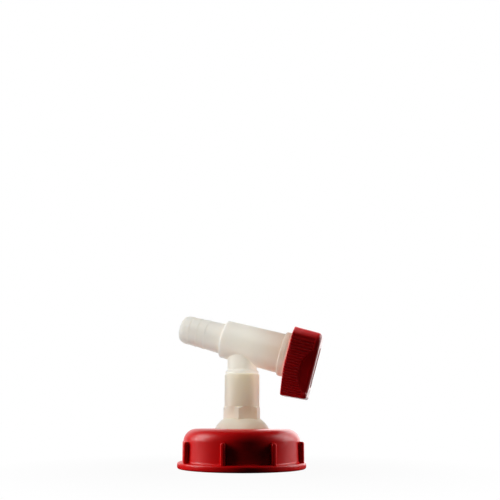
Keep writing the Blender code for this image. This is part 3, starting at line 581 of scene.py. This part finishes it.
def rib_piece(sizes):
    """One upright rib at the cap's +X side: an arch seen from outside, its outer edge rounded."""
    back = sizes.wall_radius - 1.0 * MM
    low = sizes.flange_height - 1.0 * MM
    middle = sizes.rib_top - sizes.rib_width / 2

    arch_steps, edge_steps = 16, 6

    def arch(place, inset):
        half = sizes.rib_width / 2 - inset
        turns = [pi * k / arch_steps for k in range(arch_steps + 1)]
        return [Vector((place, half, low))] + [
            Vector((place, half * cos(turn), middle + half * sin(turn))) for turn in turns
        ] + [Vector((place, -half, low))]

    rings = [arch(back, 0.0)]
    for k in range(edge_steps + 1):
        turn = pi / 2 * k / edge_steps
        rings.append(arch(sizes.rib_radius - sizes.rib_edge * (1 - sin(turn)),
                          sizes.rib_edge * (1 - cos(turn))))
    return lofted("rib_pattern", rings, Matrix(), None)


class TAP_OT_cap(Operator):
    """Make the red union cap with its grip ribs and neck thread"""

    bl_idname = "tap.cap"
    bl_label = "Union cap"

    def execute(self, context):
        sizes = context.scene.tap_cap
        red = red_polyethylene(context.scene.tap_finishes)
        cap = turned("union_cap", cap_outline(sizes), CAP_FACETS, finish=red)
        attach(cap, "cap")
        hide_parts("screw_cap")
        rib = rib_piece(sizes)
        run_tree("union_cap_ribs", repeat_round_tree(), {
            "Piece": rib, "Count": sizes.rib_count, "First Turn": sizes.rib_start,
            "Finish": red}, "cap")
        bpy.data.objects.remove(rib, do_unlink=True)
        section = thread_section(sizes)
        run_tree("union_cap_thread", thread_tree(), {
            "Section": section, "Radius": sizes.thread_root, "Pitch": sizes.thread_pitch,
            "Turns": sizes.thread_turns, "Bottom": 2.0 * MM, "Finish": red}, "cap")
        bpy.data.objects.remove(section, do_unlink=True)
        return {"FINISHED"}


def thread_section(sizes):
    """Closed trapezoid of the thread: X stands in from the wall, Y runs along the cap's axis."""
    curve = bpy.data.curves.new("thread_section", "CURVE")
    curve.dimensions = "2D"
    spline = curve.splines.new("POLY")
    root = 1.2 * MM
    crest = 0.5 * MM
    sunk = -0.3 * MM
    points = [(sunk, -root), (sizes.thread_depth, -crest), (sizes.thread_depth, crest), (sunk, root)]
    spline.points.add(len(points) - 1)
    for point, (x, y) in zip(spline.points, points):
        point.co = (x, y, 0, 1)
    spline.use_cyclic_u = True
    made = bpy.data.objects.new("thread_section", curve)
    bpy.context.scene.collection.objects.link(made)
    return made


def adapter_outline(sizes):
    """Section of the adapter: flange, boss, flare, core inside the hexagon, socket."""
    inner = sizes.across_flats / 2 - 0.4 * MM
    flare_foot = (sizes.boss_radius, CAP_TOP - 0.3 * MM)
    flare_top = (sizes.across_flats / 2 + 1.1 * MM, sizes.hex_bottom + 0.6 * MM)
    flare = bulged(flare_foot, flare_top, 0.55 * MM, 14)
    return filleted([
        (sizes.bore, sizes.flange_bottom, 0.3 * MM), (sizes.flange_radius, sizes.flange_bottom, 0.4 * MM),
        (sizes.flange_radius, sizes.flange_top, 0.4 * MM), (sizes.boss_radius, sizes.flange_top, 0.3 * MM),
        (sizes.boss_radius, CAP_TOP - 0.6 * MM, 0), *((r, z, 0) for r, z in flare),
        (inner, sizes.hex_bottom + 1.0 * MM, 0), (inner, sizes.hex_top - HEX_CHAMFER, 0),
        (sizes.socket_radius, sizes.hex_top - 0.2 * MM, 0.2 * MM),
        (sizes.socket_radius, sizes.socket_top, 0.3 * MM), (sizes.bore, sizes.socket_top, 0.2 * MM)])


class TAP_OT_adapter(Operator):
    """Make the white adapter: flange, flared boss, hexagon and socket"""

    bl_idname = "tap.adapter"
    bl_label = "Adapter"

    def execute(self, context):
        sizes = context.scene.tap_adapter
        finishes = context.scene.tap_finishes
        # The stem colour is painted shade that darkens the adapter towards +X.
        white = natural_polyethylene("moulded_natural_polyethylene_adapter", Vector(finishes.natural),
                                     Vector(finishes.natural_stem_shaded), first=-20 * MM, last=8 * MM)
        made = turned("adapter_nipple", adapter_outline(sizes), TUBE_FACETS, finish=white)
        combined(made, [(hexagon(sizes), "UNION")])
        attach(made, "tap")
        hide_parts("adapter")
        return {"FINISHED"}


def bulged(start, end, bulge, steps):
    """Outline points from start to end on a shallow arc that swells outward."""
    run = hypot(end[0] - start[0], end[1] - start[1])
    out = ((end[1] - start[1]) / run, (start[0] - end[0]) / run)
    points = []
    for k in range(steps + 1):
        t = k / steps
        swell = 4 * bulge * t * (1 - t)
        points.append((start[0] + (end[0] - start[0]) * t + out[0] * swell,
                       start[1] + (end[1] - start[1]) * t + out[1] * swell))
    return points


def hexagon(sizes):
    """Spanner hexagon with rounded upright edges and its top corners turned off."""
    corner = sizes.across_flats / 2 / cos(pi / 6)
    edge = 0.7 * MM
    steps = 3
    loop = []
    for k in range(6):
        middle = sizes.hex_turn + k * pi / 3
        centre = Vector((cos(middle), sin(middle))) * (corner - edge / cos(pi / 6))
        for i in range(-steps, steps + 1):
            turn = middle + pi / 6 * i / steps
            loop.append(centre + Vector((cos(turn), sin(turn))) * edge)
    count = len(loop)
    points = [(p.x, p.y, z) for z in (sizes.hex_bottom, sizes.hex_top) for p in loop]
    faces = [tuple(reversed(range(count))), tuple(range(count, 2 * count))]
    faces += [(k, (k + 1) % count, count + (k + 1) % count, count + k) for k in range(count)]
    solid = add_piece("hexagon_blank", points, faces)
    low = sizes.hex_bottom - 1.0 * MM
    high = sizes.hex_top - HEX_CHAMFER
    inside = sizes.bore + 1.0 * MM
    turning = [(inside, low), (corner + 0.2 * MM, low), (corner + 0.2 * MM, high),
               (sizes.socket_radius + 0.1 * MM, sizes.hex_top - 0.1 * MM), (inside, sizes.hex_top - 0.1 * MM)]
    return combined(solid, [(turned("hexagon_turning", turning, TUBE_FACETS), "INTERSECT")])


def tail_radius(sizes, place):
    """Outside of the plain hose tail between its nose and the barrel."""
    nose_end = sizes.tail_tip + sizes.nose
    share = (place - nose_end) / (sizes.barrel_start - nose_end)
    return sizes.nose_radius + (sizes.root_radius - sizes.nose_radius) * share


def barrel_outline(sizes):
    """Outer outline of hose tail and barrel, from the tail's tip on the axis to the mouth."""
    nose_end = sizes.tail_tip + sizes.nose
    corners = [(0.0, sizes.tail_tip, 0)]
    lean, steps = radians(82), 12
    for k in range(steps + 1):
        turn = lean * (k / steps - 1)
        corners.append((sizes.tip_radius + (sizes.nose_radius - sizes.tip_radius) * cos(turn),
                        nose_end + sizes.nose * sin(turn), 0))
    for k in range(sizes.barb_count):
        peak = sizes.barb_start + k * sizes.barb_pitch
        around = tail_radius(sizes, peak)
        corners.append((around + sizes.barb_step / 2, peak, 0.12 * MM))
        corners.append((around - sizes.barb_step / 2, peak + 0.5 * MM, 0.2 * MM))
    corners += [(sizes.root_radius, sizes.barrel_start - 0.1 * MM, 0.5 * MM),
                (sizes.start_radius - 0.2 * MM, sizes.barrel_start, 0.5 * MM),
                (sizes.start_radius, sizes.barrel_start + 1.0 * MM, 0.4 * MM),
                (sizes.end_radius, sizes.bead_start, 0.7 * MM),
                (sizes.bead_radius, sizes.bead_start + 0.3 * MM, 1.2 * MM),
                (sizes.bead_radius, sizes.mouth, 1.2 * MM), (0.0, sizes.mouth, 0)]
    return filleted(corners, closed=False)


def barrel_bore(sizes):
    """Outline of all that is hollow in the barrel: mouth, ring groove, tapered seat, tail bore."""
    def seat(place):
        share = (place - sizes.seat_start) / (sizes.mouth - sizes.seat_start)
        return sizes.seat_start_radius + (sizes.seat_end_radius - sizes.seat_start_radius) * share

    return filleted([
        (0.0, sizes.tail_tip - 1 * MM, 0), (sizes.tail_bore + 1.3 * MM, sizes.tail_tip - 1 * MM, 0),
        (sizes.tail_bore, sizes.tail_tip + 0.3 * MM, 0.4 * MM), (sizes.tail_bore, sizes.seat_start, 0.2 * MM),
        (sizes.seat_start_radius, sizes.seat_start, 0.2 * MM),
        (seat(sizes.groove_start), sizes.groove_start, 0),
        (sizes.groove_radius, sizes.groove_start, 0), (sizes.groove_radius, sizes.groove_end, 0),
        (seat(sizes.groove_end), sizes.groove_end, 0), (seat(sizes.mouth), sizes.mouth - 0.5 * MM, 0.3 * MM),
        (seat(sizes.mouth) + 1.0 * MM, sizes.mouth + 0.5 * MM, 0),
        (0.0, sizes.mouth + 0.5 * MM, 0)], closed=False)


def branch_outline(sizes):
    """Outer outline of the upright branch: collar on the socket, tube up into the barrel."""
    corners = [(0.0, sizes.collar_bottom, 0), (sizes.collar_radius, sizes.collar_bottom, 0.15 * MM),
               (sizes.collar_radius, sizes.collar_top - 0.8 * MM, 0.3 * MM),
               (sizes.collar_radius - 0.8 * MM, sizes.collar_top, 0.3 * MM),
               (sizes.branch_radius, sizes.collar_top, 0.25 * MM)]
    inside = BARREL_CROSSING.z - 1.0 * MM
    corners += [(sizes.branch_radius, inside, 0), (0.0, inside, 0)]
    return filleted(corners, closed=False)


class TAP_OT_body(Operator):
    """Make the white tap body: barrel, hose tail and branch"""

    bl_idname = "tap.body"
    bl_label = "Tap body"

    def execute(self, context):
        sizes = context.scene.tap_body
        finishes = context.scene.tap_finishes
        # The barrel colour is painted shade that darkens the barrel towards the knob.
        white = natural_polyethylene("moulded_natural_polyethylene_body", Vector(finishes.natural),
                                     Vector(finishes.natural_barrel_shaded), first=2 * MM, last=30 * MM,
                                     bore_radius=sizes.tail_bore, painted_bore_shade=Vector(finishes.natural_bore_painted_shade))

        def parting_line(turn, place):
            beside = abs(cos(turn)) * sizes.root_radius
            on_tail = sizes.tail_tip + sizes.nose * 0.5 < place < sizes.barrel_start - 0.3 * MM
            return 0.07 * MM * max(0.0, 1 - beside / (0.22 * MM)) if on_tail else 0.0

        made = turned("tap_body_shell", barrel_outline(sizes), BARREL_FACETS, barrel_frame(), white,
                      closed=False, raise_at=parting_line)
        branch = turned("branch", branch_outline(sizes), TUBE_FACETS, closed=False)
        bore = turned("barrel_bore", barrel_bore(sizes), BORE_FACETS, barrel_frame(), closed=False)
        low = sizes.collar_bottom - 1 * MM
        top = BARREL_CROSSING.z
        inlet_outline = [(0.0, low), (sizes.branch_bore, low), (sizes.branch_bore, top), (0.0, top)]
        inlet = turned("inlet", inlet_outline, BORE_FACETS, closed=False)
        combined(made, [(branch, "UNION"), (bore, "DIFFERENCE"), (inlet, "DIFFERENCE")])
        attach(made, "tap")
        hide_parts("tap_body")
        return {"FINISHED"}


def knob_loop(sizes, inset, low_inset):
    """(height, across) points round the knob's back; as many points whatever the insets."""
    half = sizes.half_width - inset
    top = sizes.top - inset
    low = -sizes.lever + low_inset
    top_corner = max(sizes.top_corner - inset, 0.3 * MM)
    low_corner = max(sizes.lever_corner - inset, 0.3 * MM)
    top_arc, low_arc = 16, 8
    # The flanks have the most steps, for their grip grooves.
    flank_run, top_run, low_run = 220, 12, 16
    corners = [(low, half, low_corner, low_arc, flank_run), (top, half, top_corner, top_arc, top_run),
               (top, -half, top_corner, top_arc, flank_run), (low, -half, low_corner, low_arc, low_run)]
    points = []
    for k, (height, across, corner, arc_steps, run_steps) in enumerate(corners):
        centre = Vector((height - copysign(corner, height), across - copysign(corner, across)))
        turns = [pi - pi / 2 * (k + i / arc_steps) for i in range(arc_steps + 1)]
        arc = [centre + Vector((cos(turn), sin(turn))) * corner for turn in turns]
        points.extend(arc)
        following = corners[(k + 1) % 4]
        nxt = Vector(following[:2])
        towards = nxt - Vector((height, across))
        end = nxt - towards.normalized() * following[2]
        points.extend(arc[-1].lerp(end, i / run_steps) for i in range(1, run_steps))
    return points


def grip_and_scoop(sizes, ahead, height):
    """Depth of the grip grooves and the finger scoop below the flank, at a place on it."""
    def count_to(level):
        return -log(1 + sizes.grip_closing * level / MM) * MM / (sizes.grip_closing * sizes.grip_pitch)

    passed = count_to(height) - count_to(sizes.grip_top)
    wave = 0.5 + 0.5 * cos(2 * pi * passed)
    in_rows = smooth_step(passed, -0.5, -0.25) * smooth_step(sizes.grip_count - 1 - passed, -0.5, -0.25)
    before_edge = smooth_step(sizes.depth - ahead, sizes.edge, sizes.edge + 0.8 * MM)
    off = hypot(sizes.depth + sizes.scoop_centre - ahead, height - sizes.scoop_height)
    into = max(0.0, sizes.scoop_radius - off)
    scoop = tan(sizes.scoop_slope) * into * into / (into + 0.4 * MM)
    in_scoop = smooth_step(into, 0.0, 0.8 * MM)
    groove = sizes.grip_depth * wave * in_rows * before_edge * (1 - in_scoop)
    return max(groove, scoop + sizes.grip_depth * in_scoop)


def smooth_step(value, low, high):
    """0 up to the low value, 1 from the high one, and a soft rise between them."""
    t = min(1.0, max(0.0, (value - low) / (high - low)))
    return t * t * (3 - 2 * t)


def knob_back(sizes, height):
    """Depth of the back rim, which sweeps forward towards the lever's end."""
    share = max(0.0, (sizes.sweep_start - height) / (sizes.lever + sizes.sweep_start))
    return sizes.back + sizes.sweep * min(share, 1.0) ** 1.5


def knob_ring(sizes, place_of, inset, dressed, on_edge=False):
    """Loop of knob points in the knob's frame, drawn in by the moulding draft.

    On the front edge the inset is a share of the edge's round, which is smaller at the lever's end.
    """
    ring = []
    low_inset = inset * sizes.low_edge if on_edge else inset
    for height, across in knob_loop(sizes, inset * sizes.edge if on_edge else inset, low_inset):
        place = place_of(height)
        ahead = place - sizes.back
        y = across * (1 - ahead * tan(sizes.side_draft) / sizes.half_width)
        if height > 0:
            z = height * (1 - ahead * tan(sizes.top_draft) / sizes.top)
        else:
            z = height * (1 - ahead * tan(sizes.lever_draft) / sizes.lever)
        on_flank = smooth_step(abs(across), sizes.half_width * 0.6, sizes.half_width * 0.8)
        if dressed and on_flank > 0.0:
            y -= copysign(grip_and_scoop(sizes, min(ahead, sizes.depth - sizes.edge), z) * on_flank, across)
        ring.append(Vector((place, y, z)))
    return ring


def knob_rings(sizes):
    """Successive loops from the knob's inner floor out over the back rim and round the front edge."""
    front = sizes.back + sizes.depth
    rings = [knob_ring(sizes, lambda height: front - sizes.face, sizes.wall, False)]
    lip = 0.4 * MM
    for inset, ahead in ((sizes.wall, lip), (sizes.wall - lip * 0.3, lip * 0.3), (sizes.wall - lip, 0.0)):
        rings.append(knob_ring(sizes, lambda height, a=ahead: knob_back(sizes, height) + a, inset, False))
    for inset, ahead in ((lip, 0.0), (lip * 0.3, lip * 0.3), (0.0, lip)):
        rings.append(knob_ring(sizes, lambda height, a=ahead: knob_back(sizes, height) + a, inset, True))
    flank_steps, edge_steps = 64, 10

    def round_at(height):
        near_end = smooth_step(-height, sizes.lever - 4.0 * MM, sizes.lever - 1.5 * MM)
        return sizes.edge + (sizes.low_edge - sizes.edge) * near_end

    for k in range(1, flank_steps + 1):
        def place_of(height, share=k / flank_steps):
            first = knob_back(sizes, height) + lip
            return first + (front - round_at(height) - first) * share
        rings.append(knob_ring(sizes, place_of, 0.0, True))
    for k in range(1, edge_steps + 1):
        turn = pi / 2 * k / edge_steps
        rings.append(knob_ring(sizes, lambda height, t=turn: front - round_at(height) * (1 - sin(t)),
                               1 - cos(turn), True, True))
    return rings


def lofted(name, rings, place, finish):
    """Closed piece over successive loops, its first and last loops filled."""
    count = len(rings[0])
    points = [place @ p for ring in rings for p in ring]
    faces = []
    for level in range(len(rings) - 1):
        for k in range(count):
            nxt = (k + 1) % count
            low, high = level * count, (level + 1) * count
            faces.append((low + k, low + nxt, high + nxt, high + k))
    faces.append(tuple(range(count)))
    faces.append(tuple((len(rings) - 1) * count + k for k in range(count)))
    return add_piece(name, points, faces, finish, LOFT_CRISP)


def knob_hub(sizes):
    """Hub round the plug's square stub, with four stiffening webs, in the knob's frame."""
    back = sizes.back - 0.5 * MM
    front = sizes.back + sizes.depth - sizes.face + 0.3 * MM
    flip = Matrix.Rotation(pi / 2, 4, "Y")
    outline = filleted([(0.0, back, 0), (sizes.hub_radius, back, 0.4 * MM), (sizes.hub_radius, front, 0),
                        (0.0, front, 0)], closed=False)
    hub = turned("knob_hub", outline, BORE_FACETS, flip, closed=False)
    half = sizes.web / 2
    web_back = sizes.back + 3.0 * MM
    inner = sizes.wall - 0.4 * MM
    upright = block("web_upright", (web_back, -half, -sizes.lever + inner + 1.4 * MM),
                    (front, half, sizes.top - inner))
    across = block("web_across", (web_back, -sizes.half_width + inner + 1.3 * MM, -half),
                   (front, sizes.half_width - inner - 1.3 * MM, half))
    side = sizes.stub_width / 2 + 0.3 * MM
    socket = block("stub_socket", (back - 1 * MM, -side, -side), (back + 11.6 * MM, side, side))
    return combined(hub, [(upright, "UNION"), (across, "UNION"), (socket, "DIFFERENCE")])


def block(name, low, high):
    """Plain box between two corners, used as a Boolean tool."""
    points = [(x, y, z) for z in (low[2], high[2]) for x, y in
              ((low[0], low[1]), (high[0], low[1]), (high[0], high[1]), (low[0], high[1]))]
    faces = [(3, 2, 1, 0), (4, 5, 6, 7), (0, 1, 5, 4), (1, 2, 6, 5), (2, 3, 7, 6), (3, 0, 4, 7)]
    return add_piece(name, points, faces)


def turn_mark(sizes, finish):
    """Raised plain arrow on the knob's front that points down the lever."""
    shaft, head = 0.9 * MM, 3.2 * MM
    tail, neck, tip = 8.0 * MM, -9.0 * MM, -14.5 * MM
    middle = -4.0 * MM
    outline = [(-shaft, tail), (-shaft, neck), (-head, neck), (0.0, tip), (head, neck), (shaft, neck),
               (shaft, tail)]
    face = sizes.back + sizes.depth
    levels = [(face - 0.2 * MM, 1.0), (face + sizes.mark_height * 0.7, 1.0), (face + sizes.mark_height, 0.94)]
    rings = [[Vector((place, y * share, middle + (z - middle) * share)) for y, z in outline]
             for place, share in levels]
    return lofted("knob_arrow", rings, knob_frame(), finish)


class TAP_OT_knob(Operator):
    """Make the red lever knob: gripped shell, hub with webs, raised arrow"""

    bl_idname = "tap.knob"
    bl_label = "Lever knob"

    def execute(self, context):
        sizes = context.scene.tap_knob
        red = red_polypropylene(context.scene.tap_finishes)
        shell = lofted("knob_shell", knob_rings(sizes), knob_frame(), red)
        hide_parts("knob")
        hub = knob_hub(sizes)
        hub.data.transform(knob_frame())
        hub.data.materials.clear()
        hub.data.materials.append(red)
        for piece in (shell, hub, turn_mark(sizes, red)):
            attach(piece, "handle")
        return {"FINISHED"}


class TAP_OT_inner(Operator):
    """Dress the washer, seals, plug and split ring"""

    bl_idname = "tap.inner"
    bl_label = "Inner pieces"

    def execute(self, context):
        finishes = context.scene.tap_finishes
        rubber = nitrile_rubber(finishes)
        white = natural_polypropylene(finishes)
        dress = {"neck_gasket": polyethylene_foam(finishes), "spigot_seal": rubber, "plug_seal_tail": rubber,
                 "plug_seal_knob": rubber, "tap_plug": white, "retaining_ring": white}
        for node, finish in dress.items():
            for slot in frame["nodes"][node].material_slots:
                slot.material = finish
        return {"FINISHED"}


# Each lamp's name, place (turn from the camera, rise, metres from the tap), size, watts, the pieces it lights
# and whether their gloss shows it.
LAMPS = (
    ("left_panel", (-94, 25, 0.60), (0.34, 0.44), 2.3, "cap", True),
    ("right_panel", (105, 23, 0.60), (0.36, 0.44), 1.8, "pigmented", True),
    ("back_panel", (160, 18, 0.55), (0.45, 0.40), 0.9, "pigmented", True),
    ("lever_top", (-110, 80, 0.60), (0.30, 0.30), 5.0, "knob", True),
    ("lever_rim", (-94, 15, 0.60), (0.30, 0.30), 3.2, "knob", False),
    ("lever_card", (-2, -18, 0.08), (0.06, 0.06), 0.012, "knob", False),
    ("left_soft", (-88, 18, 0.60), (0.30, 0.30), 3.5, "cap", False),
    ("right_soft", (106, 18, 0.60), (0.30, 0.30), 2.6, "cap", False),
    ("left_glow", (-90, 0, 0.60), (0.50, 0.50), 2.3, "milky", True),
    ("right_glow", (98, -8, 0.60), (0.50, 0.50), 2.2, "milky", True),
    ("upper_glow", (-20, 50, 0.60), (0.50, 0.50), 2.1, "milky", True),
    ("lower_glow", (-20, -55, 0.60), (0.50, 0.50), 3.4, "milky", True),
    ("top_glow", (-90, 85, 0.60), (0.50, 0.50), 1.1, "milky", True),
)
# Strength of the plain fill from all round, and half the floor's width in metres.
FILL = 0.015
FLOOR_REACH = 3.0


def background_rays(tree, place, near, far):
    """1 for rays that show the background: all of the camera's, and gloss or glass rays behind the tap."""
    rays = add_node(tree, "ShaderNodeLightPath").outputs
    back = add_node(tree, "ShaderNodeSeparateXYZ", None, {"Vector": place}).outputs["Y"]
    behind = add_node(tree, "ShaderNodeMapRange", {"From Min": near, "From Max": far}, {"Value": back})
    bounced = add_node(tree, "ShaderNodeMath", {"operation": "MAXIMUM"},
                       {0: rays["Is Glossy Ray"], 1: rays["Is Transmission Ray"]})
    to_back = add_node(tree, "ShaderNodeMath", {"operation": "MULTIPLY"},
                       {0: bounced.outputs[0], 1: behind.outputs["Result"]})
    shown = add_node(tree, "ShaderNodeMath", {"operation": "MAXIMUM"},
                     {0: rays["Is Camera Ray"], 1: to_back.outputs[0]})
    return shown.outputs[0]


def paper(name, shade, near, far):
    """Matt studio paper; to the camera it glows near the tap and is plain white beyond it."""
    made = bpy.data.materials.new(name)
    made.use_nodes = True
    tree = made.node_tree
    tree.nodes.clear()
    matt = add_node(tree, "ShaderNodeBsdfDiffuse", {"Color": (*linear(shade), 1.0)})
    place = add_node(tree, "ShaderNodeTexCoord").outputs["Object"]
    away = add_node(tree, "ShaderNodeVectorMath", {"operation": "LENGTH"}, {0: place}).outputs["Value"]
    fade = add_node(tree, "ShaderNodeMapRange",
                    {"From Min": 50 * MM, "From Max": 150 * MM, "To Min": near, "To Max": far},
                    {"Value": away})
    strength = add_node(tree, "ShaderNodeMath", {"operation": "MULTIPLY"},
                        {0: background_rays(tree, place, 30 * MM, 100 * MM), 1: fade.outputs["Result"]})
    glow = add_node(tree, "ShaderNodeEmission", None, {"Strength": strength.outputs[0]})
    both = add_node(tree, "ShaderNodeAddShader", None, {0: matt.outputs[0], 1: glow.outputs[0]})
    add_node(tree, "ShaderNodeOutputMaterial", None, {"Surface": both.outputs[0]})
    return made


def collected(name, things):
    """Collection outside the scene that tells a lamp which pieces it lights or which ones shade it."""
    made = bpy.data.collections.new(name)
    for thing in things:
        made.objects.link(thing)
    return made


def area_light(name, azimuth, spot, panel, power, receivers, blockers):
    """Soft white panel aimed at the tap that lights the receivers and is shaded by the blockers."""
    lamp = bpy.data.lights.new(name, "AREA")
    lamp.shape = "RECTANGLE"
    lamp.size, lamp.size_y = panel
    lamp.energy = power
    made = bpy.data.objects.new(name, lamp)
    turn = azimuth - pi / 2 + radians(spot[0])
    rise = radians(spot[1])
    away = Vector((cos(turn) * cos(rise), sin(turn) * cos(rise), sin(rise)))
    made.location = TAP_MIDDLE + away * spot[2]
    made.rotation_euler = away.to_track_quat("Z", "Y").to_euler()
    made.visible_camera = False
    made.light_linking.receiver_collection = receivers
    made.light_linking.blocker_collection = blockers
    bpy.context.scene.collection.objects.link(made)
    return made


class TAP_OT_studio(Operator):
    """Make the floor, the soft lights, the white surroundings and the camera"""

    bl_idname = "tap.studio"
    bl_label = "Studio"

    def execute(self, context):
        scene = context.scene
        sizes = scene.tap_studio
        scene.view_settings.view_transform = "Standard"
        low, high = -FLOOR_REACH, FLOOR_REACH
        floor = add_piece("floor", [(low, low, 0), (high, low, 0), (high, high, 0), (low, high, 0)],
                          [(0, 1, 2, 3)], paper("matt_paper_floor", "#303030", 0.96, 1.0))
        floor.location.z = -0.05 * MM
        self.white_surroundings(scene)
        pieces = [thing for thing in scene.objects if thing.type == "MESH" and thing != floor]
        groups = {"milky": [thing for thing in pieces if thing.name in MILKY],
                  "pigmented": [thing for thing in pieces if thing.name not in MILKY],
                  "cap": [thing for thing in pieces if thing.name.startswith("union_cap")],
                  "knob": [thing for thing in pieces if thing.name.startswith("knob")]}
        groups = {name: collected(name + "_pieces", things) for name, things in groups.items()}
        # Milky plastic passes light on, so the milky pieces don't shade one another: only the cap does.
        for name, spot, panel, power, lit, in_gloss in LAMPS:
            shading = groups["cap"] if lit == "milky" else groups[lit]
            lamp = area_light(name, sizes.azimuth, spot, panel, power, groups[lit], shading)
            lamp.visible_glossy = in_gloss
        self.camera(scene, sizes)
        return {"FINISHED"}

    def white_surroundings(self, scene):
        """White to the camera and, behind the tap, in gloss; a dim plain fill for all other light."""
        world = bpy.data.worlds.new("studio_white")
        world.use_nodes = True
        tree = world.node_tree
        tree.nodes.clear()
        towards = add_node(tree, "ShaderNodeTexCoord").outputs["Generated"]
        white = (*linear("#FFFFFF"), 1.0)
        fill = add_node(tree, "ShaderNodeBackground", {"Color": white, "Strength": FILL})
        bright = add_node(tree, "ShaderNodeBackground", {"Color": white, "Strength": 1.0})
        shown = background_rays(tree, towards, 0.5, 0.8)
        mix = add_node(tree, "ShaderNodeMixShader", None,
                       {0: shown, 1: fill.outputs[0], 2: bright.outputs[0]})
        add_node(tree, "ShaderNodeOutputWorld", None, {"Surface": mix.outputs[0]})
        scene.world = world

    def camera(self, scene, sizes):
        """Camera at the photographed angle, near the object and low, looking a little up."""
        data = bpy.data.cameras.new("studio_camera")
        data.sensor_width = 36.0
        data.lens = sizes.lens
        data.shift_y = sizes.shift
        data.clip_start = 0.01
        data.clip_end = 20.0
        made = bpy.data.objects.new("studio_camera", data)
        towards = Vector((-sin(sizes.azimuth), cos(sizes.azimuth), 0.0))
        right = Vector((cos(sizes.azimuth), sin(sizes.azimuth), 0.0))
        forward = towards * cos(sizes.pitch) + Vector((0.0, 0.0, sin(sizes.pitch)))
        made.location = right * sizes.aside - towards * sizes.distance
        made.location.z = sizes.height
        turn = forward.to_track_quat("-Z", "Y").to_matrix() @ Matrix.Rotation(sizes.roll, 3, "Z")
        made.rotation_euler = turn.to_euler()
        scene.collection.objects.link(made)
        scene.camera = made


class TAP_PT_panel(Panel):
    """Lists the tap's pieces and their sizes"""

    bl_idname = "TAP_PT_panel"
    bl_label = "Canister tap"
    bl_space_type = "VIEW_3D"
    bl_region_type = "UI"
    bl_category = "Tap"

    def draw(self, context):
        for operator, group in zip(OPERATORS, GROUPS):
            box = self.layout.box()
            box.operator(operator.bl_idname)
            settings = getattr(context.scene, group)
            for key in settings.__annotations__:
                box.prop(settings, key)


GROUPS = {"tap_cap": CapSizes, "tap_adapter": AdapterSizes, "tap_body": BodySizes, "tap_knob": KnobSizes,
          "tap_finishes": Finishes, "tap_studio": StudioSizes}
OPERATORS = (TAP_OT_cap, TAP_OT_adapter, TAP_OT_body, TAP_OT_knob, TAP_OT_inner, TAP_OT_studio)


def register():
    for name, group in GROUPS.items():
        bpy.utils.register_class(group)
        setattr(bpy.types.Scene, name, PointerProperty(type=group))
    for operator in OPERATORS:
        bpy.utils.register_class(operator)
    bpy.utils.register_class(TAP_PT_panel)


def unregister():
    bpy.utils.unregister_class(TAP_PT_panel)
    for operator in reversed(OPERATORS):
        bpy.utils.unregister_class(operator)
    for name, group in reversed(list(GROUPS.items())):
        delattr(bpy.types.Scene, name)
        bpy.utils.unregister_class(group)


def main():
    register()
    bpy.ops.tap.cap()
    bpy.ops.tap.adapter()
    bpy.ops.tap.body()
    bpy.ops.tap.knob()
    bpy.ops.tap.inner()
    bpy.ops.tap.studio()


if __name__ == "__main__":
    main()
